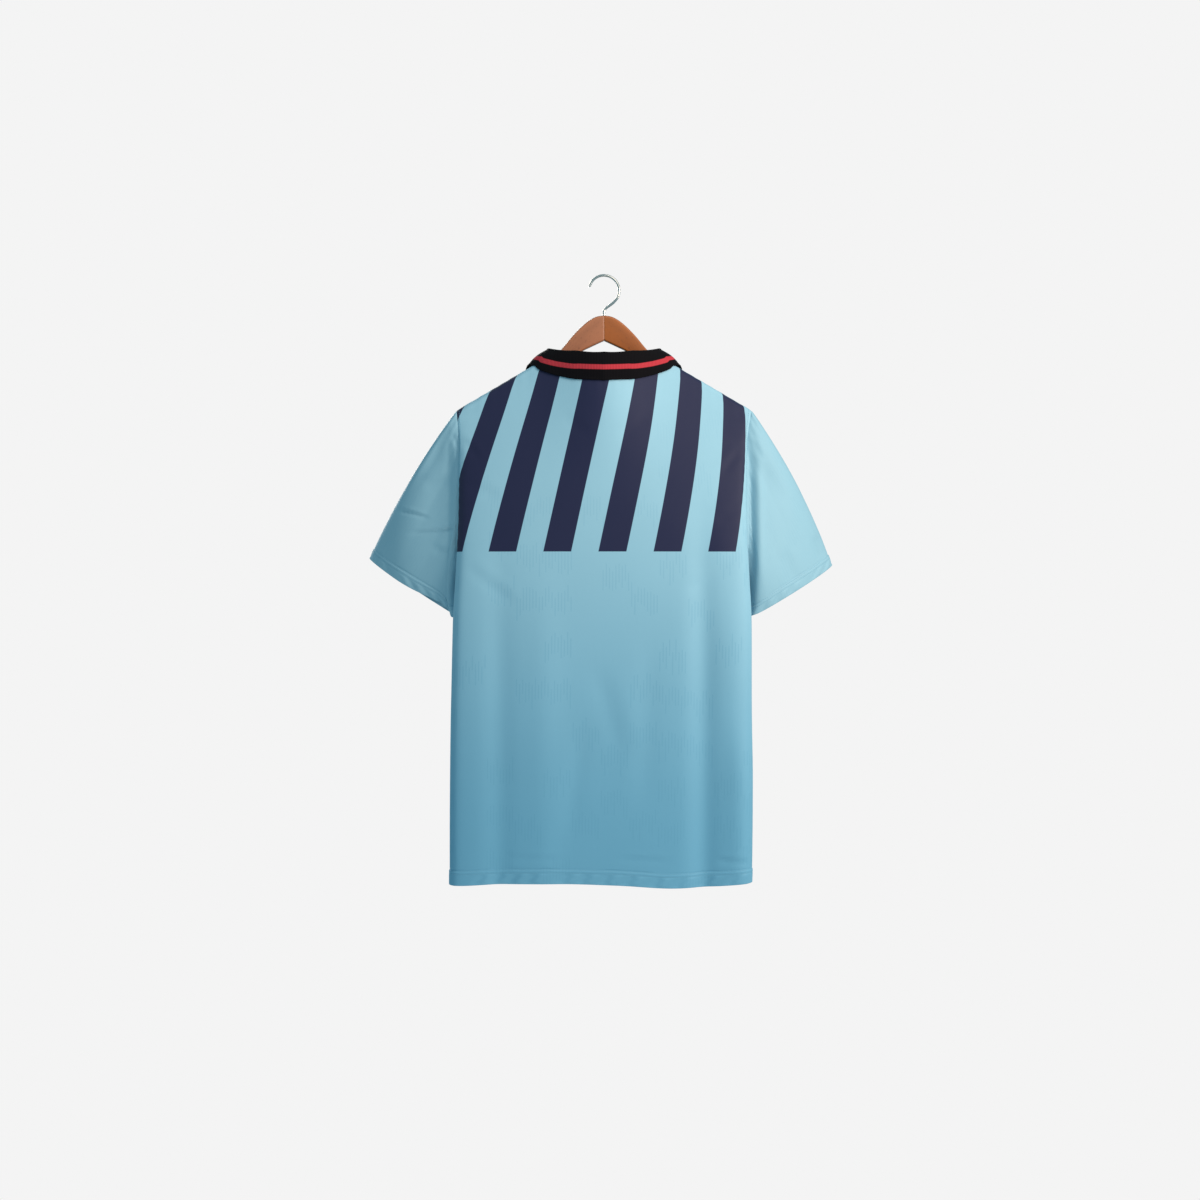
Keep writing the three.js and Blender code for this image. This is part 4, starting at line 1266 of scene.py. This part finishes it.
def stitch_tree():
    """Geometry nodes that lay stitches along edges of a mesh."""
    tree = bpy.data.node_groups.new("lay_stitches", "GeometryNodeTree")
    face = tree.interface
    face.new_socket("Geometry", in_out="INPUT", socket_type="NodeSocketGeometry")
    for name in ("Pitch", "Length", "Thickness"):
        socket = face.new_socket(name, in_out="INPUT", socket_type="NodeSocketFloat")
        socket.subtype = "DISTANCE"
    face.new_socket("Thread", in_out="INPUT", socket_type="NodeSocketMaterial")
    face.new_socket("Geometry", in_out="OUTPUT", socket_type="NodeSocketGeometry")
    given = add(tree, "NodeGroupInput").outputs
    seams = add(tree, "GeometryNodeMeshToCurve", {"Mesh": given["Geometry"]})
    points = add(
        tree, "GeometryNodeCurveToPoints", {"Curve": seams, "Length": given["Pitch"]}, mode="LENGTH"
    )
    ball = add(tree, "GeometryNodeMeshUVSphere", {"Segments": 6, "Rings": 4, "Radius": 0.5})
    size = add(
        tree, "ShaderNodeCombineXYZ", (given["Thickness"], given["Thickness"], given["Length"])
    )
    laid = add(tree, "GeometryNodeInstanceOnPoints", {
        "Points": points, "Instance": ball, "Rotation": points.outputs["Rotation"], "Scale": size,
    })
    real = add(tree, "GeometryNodeRealizeInstances", {"Geometry": laid})
    smooth = add(tree, "GeometryNodeSetShadeSmooth", {"Geometry": real})
    threaded = add(
        tree, "GeometryNodeSetMaterial", {"Geometry": smooth, "Material": given["Thread"]}
    )
    add(tree, "NodeGroupOutput", {"Geometry": threaded})
    return tree


def hem_lines(grid, rows):
    """Stitch lines at heights above a grid's last row."""
    from_top = arc(grid, 0)
    height = from_top[-1:] - from_top
    return [line_at(grid, height, row) for row in rows]


def armhole_lines(grid):
    """Stitch lines beside both armholes of a panel."""
    upper = grid[:ARMHOLE_STEPS - 2]
    across = arc(grid, 1)[:ARMHOLE_STEPS - 2].T
    columns = np.swapaxes(upper, 0, 1)
    from_left = line_at(columns[::-1], across[::-1], STITCH_OFF_SEAM)
    from_right = line_at(columns, across[-1:] - across, STITCH_OFF_SEAM)
    return [from_left, from_right]


def shoulder_lines(surface):
    """Stitch lines below both shoulder seams of a panel."""
    top = surface["smooth"][0, :, 0]
    line = line_at(surface["outer"], -arc(surface["outer"], 0), -STITCH_OFF_SEAM)
    on_shoulder = np.abs(top) > NECK_X
    on_shoulder[[0, -1]] = False
    return [line[on_shoulder & (np.sign(top) == side)] for side in (-1, 1)]


def seam_lines():
    """Stitch lines by name: rows of points on the cloth, in millimetres."""
    panels = [panel_surface(name)["outer"] for name in PANELS]
    sleeves = [sleeve_surface(name)["outer"] for name in SLEEVES]
    return {
        "hem_stitches": [line for grid in panels for line in hem_lines(grid, BODY_HEM["stitches"])],
        "cuff_stitches": [line for grid in sleeves for line in hem_lines(grid, CUFF_HEM["stitches"])],
        "armhole_stitches": [line for grid in panels for line in armhole_lines(grid)],
        "shoulder_stitches": shoulder_lines(panel_surface("back")),
    }


def line_at(grid, distance, value):
    """Points of a grid's columns where a distance that falls from row to row has a value."""
    points = np.empty((grid.shape[1], 3))
    for c in range(grid.shape[1]):
        for axis in range(3):
            points[c, axis] = np.interp(-value, -distance[:, c], grid[:, c, axis])
    return points


class JERSEY_OT_sew_stitches(Operator):
    """Sew the rows of stitches"""

    bl_idname = "jersey.sew_stitches"
    bl_label = "Sew stitches"

    def execute(self, context):
        stitching = context.scene.jersey_stitching
        tree = stitch_tree()
        values = {
            "Pitch": stitching.pitch, "Length": stitching.length,
            "Thickness": stitching.thickness, "Thread": finish_of("thread"),
        }
        inputs = [item for item in tree.interface.items_tree if item.name in values]
        for name, rows in seam_lines().items():
            points = np.concatenate(rows)
            starts = np.cumsum([0, *(len(row) for row in rows)])
            edges = [(i, i + 1) for a, b in zip(starts, starts[1:]) for i in range(a, b - 1)]
            mesh = bpy.data.meshes.new(name)
            mesh.from_pydata((points * MM).tolist(), edges, [])
            piece = place_object(name, mesh)
            modifier = piece.modifiers.new("stitches", "NODES")
            modifier.node_group = tree
            for item in inputs:
                modifier[item.identifier] = values[item.name]
            sewn = finished_mesh(piece)
            piece.modifiers.clear()
            piece.data = sewn
            dress(piece, finish_of("thread"), "jersey_knit")
        return {"FINISHED"}


def rounded_oblong(half, low, high, radius):
    """A ring of an oblong with round corners, across and up."""
    ring = []
    corners = ((1, 1, 0), (-1, 1, 90), (-1, -1, 180), (1, -1, 270))
    for side, up, turn in corners:
        middle = (side * (half - radius), (high if up > 0 else low) - up * radius)
        for step in range(CORNER_STEPS):
            angle = math.radians(turn + 90 * step / (CORNER_STEPS - 1))
            ring.append((middle[0] + radius * math.cos(angle), middle[1] + radius * math.sin(angle)))
    return ring


def arm_table():
    """The arm's outline from the joint to its tip."""
    hidden = np.array(ARM_HIDDEN_X, float)
    top = ARM_UNDER_SHOULDER - shoulder_height(hidden)
    way = (hidden - ARM["x"][-1]) / (hidden[-1] - ARM["x"][-1])
    depth = lerp(ARM["bottom"][-1] - ARM["top"][-1], ARM_END_DEPTH, way)
    return {
        "x": np.append(ARM["x"], hidden),
        "top": np.append(ARM["top"], top),
        "bottom": np.append(ARM["bottom"], top + depth),
    }


def arm_stations(start, stop):
    """Distances along the arm, closer together towards its tip and at the joint's bevel."""
    eased = np.sin(np.linspace(0, math.pi / 2, ARM_STATIONS))
    stations = lerp(start, stop, lerp(np.linspace(0, 1, ARM_STATIONS), eased, 0.5))
    bevel = start + np.array([ARM_JOINT_BEVEL["middle"], ARM_JOINT_BEVEL["length"]])
    return np.unique(np.concatenate([stations, bevel]))


class JERSEY_OT_carve_arms(Operator):
    """Make the hanger's two wooden arms"""

    bl_idname = "jersey.carve_arms"
    bl_label = "Carve arms"

    def execute(self, context):
        table = arm_table()
        start, stop = table["x"][0], table["x"][-1]
        stations = arm_stations(start, stop)
        rings = []
        for x in stations:
            top, bottom = (-read(table, "x", column, x) for column in ("top", "bottom"))
            tip = max(0.0, (x - stop + ARM_TIP_ROUNDING) / ARM_TIP_ROUNDING)
            rounded = 1 - math.sqrt(max(0.0, 1 - tip**2))
            inset = ARM_TIP_ROUNDING * ARM_TIP_INSET_SHARE * rounded
            inset += ARM_JOINT_BEVEL["inset"] * max(0.0, 1 - (x - start) / ARM_JOINT_BEVEL["length"])
            half = ARM_HALF_THICKNESS - 0.5 * inset
            radius = min(ARM_EDGE_RADIUS, half, (top - bottom) / 2 - inset)
            ring = rounded_oblong(half, bottom + inset, top - inset, radius)
            rings.append([(x, y, z) for y, z in ring])
        rings = np.array(rings)
        ids = np.arange(rings[..., 0].size).reshape(rings.shape[:2])
        after = np.roll(ids, -1, axis=1)
        quads = np.stack([ids[:-1], after[:-1], after[1:], ids[1:]], axis=-1).reshape(-1, 4)
        faces = [*quads.tolist(), ids[0, ::-1].tolist(), ids[-1].tolist()]
        along, around = np.meshgrid(stations, np.arange(ids.shape[1]), indexing="ij")
        coordinates = np.stack([WOOD_ALONG * along, WOOD_ROUND * around], axis=-1).reshape(-1, 2)
        self.add_arm("left", "pale", rings * (-1, 1, 1), [face[::-1] for face in faces], coordinates)
        self.add_arm("right", "brown", rings, faces, coordinates)
        return {"FINISHED"}

    def add_arm(self, side, wood, rings, faces, coordinates):
        """One arm, at its side of the joint."""
        piece = add_mesh(
            f"hanger_{side}_wood", rings.reshape(-1, 3), faces, coordinates, WOOD_SHARP
        )
        dress(piece, finish_of(side), f"hanger_wood_{wood}", f"hanger_arm_{side}")


class JERSEY_OT_bend_hook(Operator):
    """Bend the wire hook"""

    bl_idname = "jersey.bend_hook"
    bl_label = "Bend hook"

    def execute(self, context):
        radius = context.scene.jersey_hanger.wire_radius / MM
        turn = HOOK_INNER_RADIUS + radius
        knots = [Vector((x, 0, HOOK_FOOT_Z + rise)) for x, rise in HOOK_STEM]
        for angle in range(*HOOK_ANGLES):
            bend = math.radians(angle)
            knots.append(Vector((turn * math.cos(bend), 0, turn * math.sin(bend) - HOOK_INNER_RADIUS)))
        line = smooth_line(knots, HOOK_STEPS)
        tip = line[-1] - line[-2]
        tip.normalize()
        wire = bpy.data.curves.new("hook_wire", "CURVE")
        wire.dimensions = "3D"
        wire.bevel_depth = radius * MM
        wire.bevel_resolution = HOOK_ROUNDNESS
        wire.use_fill_caps = True
        # The tip is rounded by shrinking the wire over its last radius
        path = [(point, 1.0) for point in line[:-2]]
        last = line[-1] - tip * radius
        path.append((last, 1.0))
        for turned in np.linspace(0, math.pi / 2 - HOOK_TIP_FLAT, HOOK_TIP_STEPS + 1)[1:]:
            path.append((last + tip * (radius * math.sin(turned)), math.cos(turned)))
        spline = wire.splines.new("POLY")
        spline.points.add(len(path) - 1)
        for target, (point, share) in zip(spline.points, path):
            target.co = (*(point * MM), 1.0)
            target.radius = share
        curve = place_object("hook_curve", wire)
        mesh = finished_mesh(curve)
        bpy.data.objects.remove(curve)
        shade_smooth(mesh, WIRE_SHARP)
        piece = place_object("hook_nickel_wire", mesh)
        dress(piece, finish_of("nickel"), "hook_steel", "hanger_hook")
        return {"FINISHED"}


def smooth_line(knots, steps):
    """Points on a smooth curve through knots."""
    padded = [knots[0], *knots, knots[-1]]
    line = []
    for spans in zip(padded, padded[1:], padded[2:], padded[3:]):
        line += [between(spans, step / steps) for step in range(steps)]
    return line + [knots[-1]]


class JERSEY_OT_set_stage(Operator):
    """Set the camera, the lights, the backdrop and the floor"""

    bl_idname = "jersey.set_stage"
    bl_label = "Set stage"

    def execute(self, context):
        scene = context.scene
        studio = scene.jersey_studio
        camera = bpy.data.cameras.new("camera")
        camera.sensor_fit = "HORIZONTAL"
        camera.angle = 2 * math.atan(CAMERA_SPAN / 2 / CAMERA_DISTANCE)
        view = place_object("camera", camera)
        view.location = CAMERA_PLACE
        view.rotation_euler = (math.pi / 2, 0, 0)
        scene.camera = view
        scene.view_settings.view_transform = "Standard"
        for name, (place, size, colour) in LIGHTS.items():
            add_light(f"{name}_light", place, size, colour, getattr(studio, f"{name}_power"))

        world = bpy.data.worlds.new("studio")
        world.use_nodes = True
        tree = world.node_tree
        tree.nodes.clear()
        seen = add(tree, "ShaderNodeBackground", (studio.backdrop, 1.0))
        room = add(tree, "ShaderNodeBackground", (ROOM_COLOUR, studio.room_light))
        rays = add(tree, "ShaderNodeLightPath")
        mixed = add(tree, "ShaderNodeMixShader", (rays.outputs["Is Camera Ray"], room, seen))
        add(tree, "ShaderNodeOutputWorld", [mixed])
        scene.world = world

        material, tree = new_material("matt_floor_paint")
        mottle = add(tree, "ShaderNodeTexNoise", {"Scale": 8.0})
        rough = add(tree, "ShaderNodeMapRange", (mottle, 0, 1, *FLOOR_ROUGH))
        paint = add(tree, "ShaderNodeBsdfPrincipled", {"Base Color": studio.floor, "Roughness": rough})
        add(tree, "ShaderNodeOutputMaterial", [paint])
        turns = np.linspace(0, 2 * math.pi, FLOOR_CORNERS, endpoint=False)
        rim = [(FLOOR_RADIUS * math.cos(t), FLOOR_RADIUS * math.sin(t), FLOOR_Z) for t in turns]
        mesh = bpy.data.meshes.new("floor")
        mesh.from_pydata(rim, [], [tuple(range(len(rim)))])
        mesh.materials.append(material)
        floor = place_object("floor", mesh)
        return {"FINISHED"}


def add_light(name, place, size, colour, power):
    """A soft square light aimed at the garment's chest."""
    light = bpy.data.lights.new(name, "AREA")
    light.size = size
    light.energy = power
    light.color = colour
    lamp = place_object(name, light)
    lamp.location = place
    lamp.rotation_euler = (Vector(AIM) - Vector(place)).to_track_quat("-Z", "Y").to_euler()


class JERSEY_PT_sidebar(Panel):
    """Lists the pieces and their sizes"""

    bl_idname = "JERSEY_PT_sidebar"
    bl_label = "Football jersey"
    bl_space_type = "VIEW_3D"
    bl_region_type = "UI"
    bl_category = "Jersey"

    def draw(self, context):
        layout = self.layout
        for group in GROUPS:
            settings = getattr(context.scene, group)
            for name in type(settings).__annotations__:
                layout.prop(settings, name)
        for operator in OPERATORS:
            layout.operator(operator.bl_idname)


GROUPS = {
    "jersey_cloth": JerseyCloth,
    "jersey_collar": JerseyCollar,
    "jersey_stitching": JerseyStitching,
    "jersey_hanger": JerseyHanger,
    "jersey_studio": JerseyStudio,
}
OPERATORS = (
    JERSEY_OT_set_stage,
    JERSEY_OT_cut_panels,
    JERSEY_OT_set_sleeves,
    JERSEY_OT_fold_collar,
    JERSEY_OT_sew_stitches,
    JERSEY_OT_carve_arms,
    JERSEY_OT_bend_hook,
)


def register():
    for cls in (*GROUPS.values(), *OPERATORS, JERSEY_PT_sidebar):
        bpy.utils.register_class(cls)
    for name, group in GROUPS.items():
        setattr(bpy.types.Scene, name, PointerProperty(type=group))


def unregister():
    for name in GROUPS:
        delattr(bpy.types.Scene, name)
    for cls in reversed((*GROUPS.values(), *OPERATORS, JERSEY_PT_sidebar)):
        bpy.utils.unregister_class(cls)


def main():
    register()
    bpy.ops.jersey.set_stage()
    bpy.ops.jersey.cut_panels()
    bpy.ops.jersey.set_sleeves()
    bpy.ops.jersey.fold_collar()
    bpy.ops.jersey.sew_stitches()
    bpy.ops.jersey.carve_arms()
    bpy.ops.jersey.bend_hook()


if __name__ == "__main__":
    main()
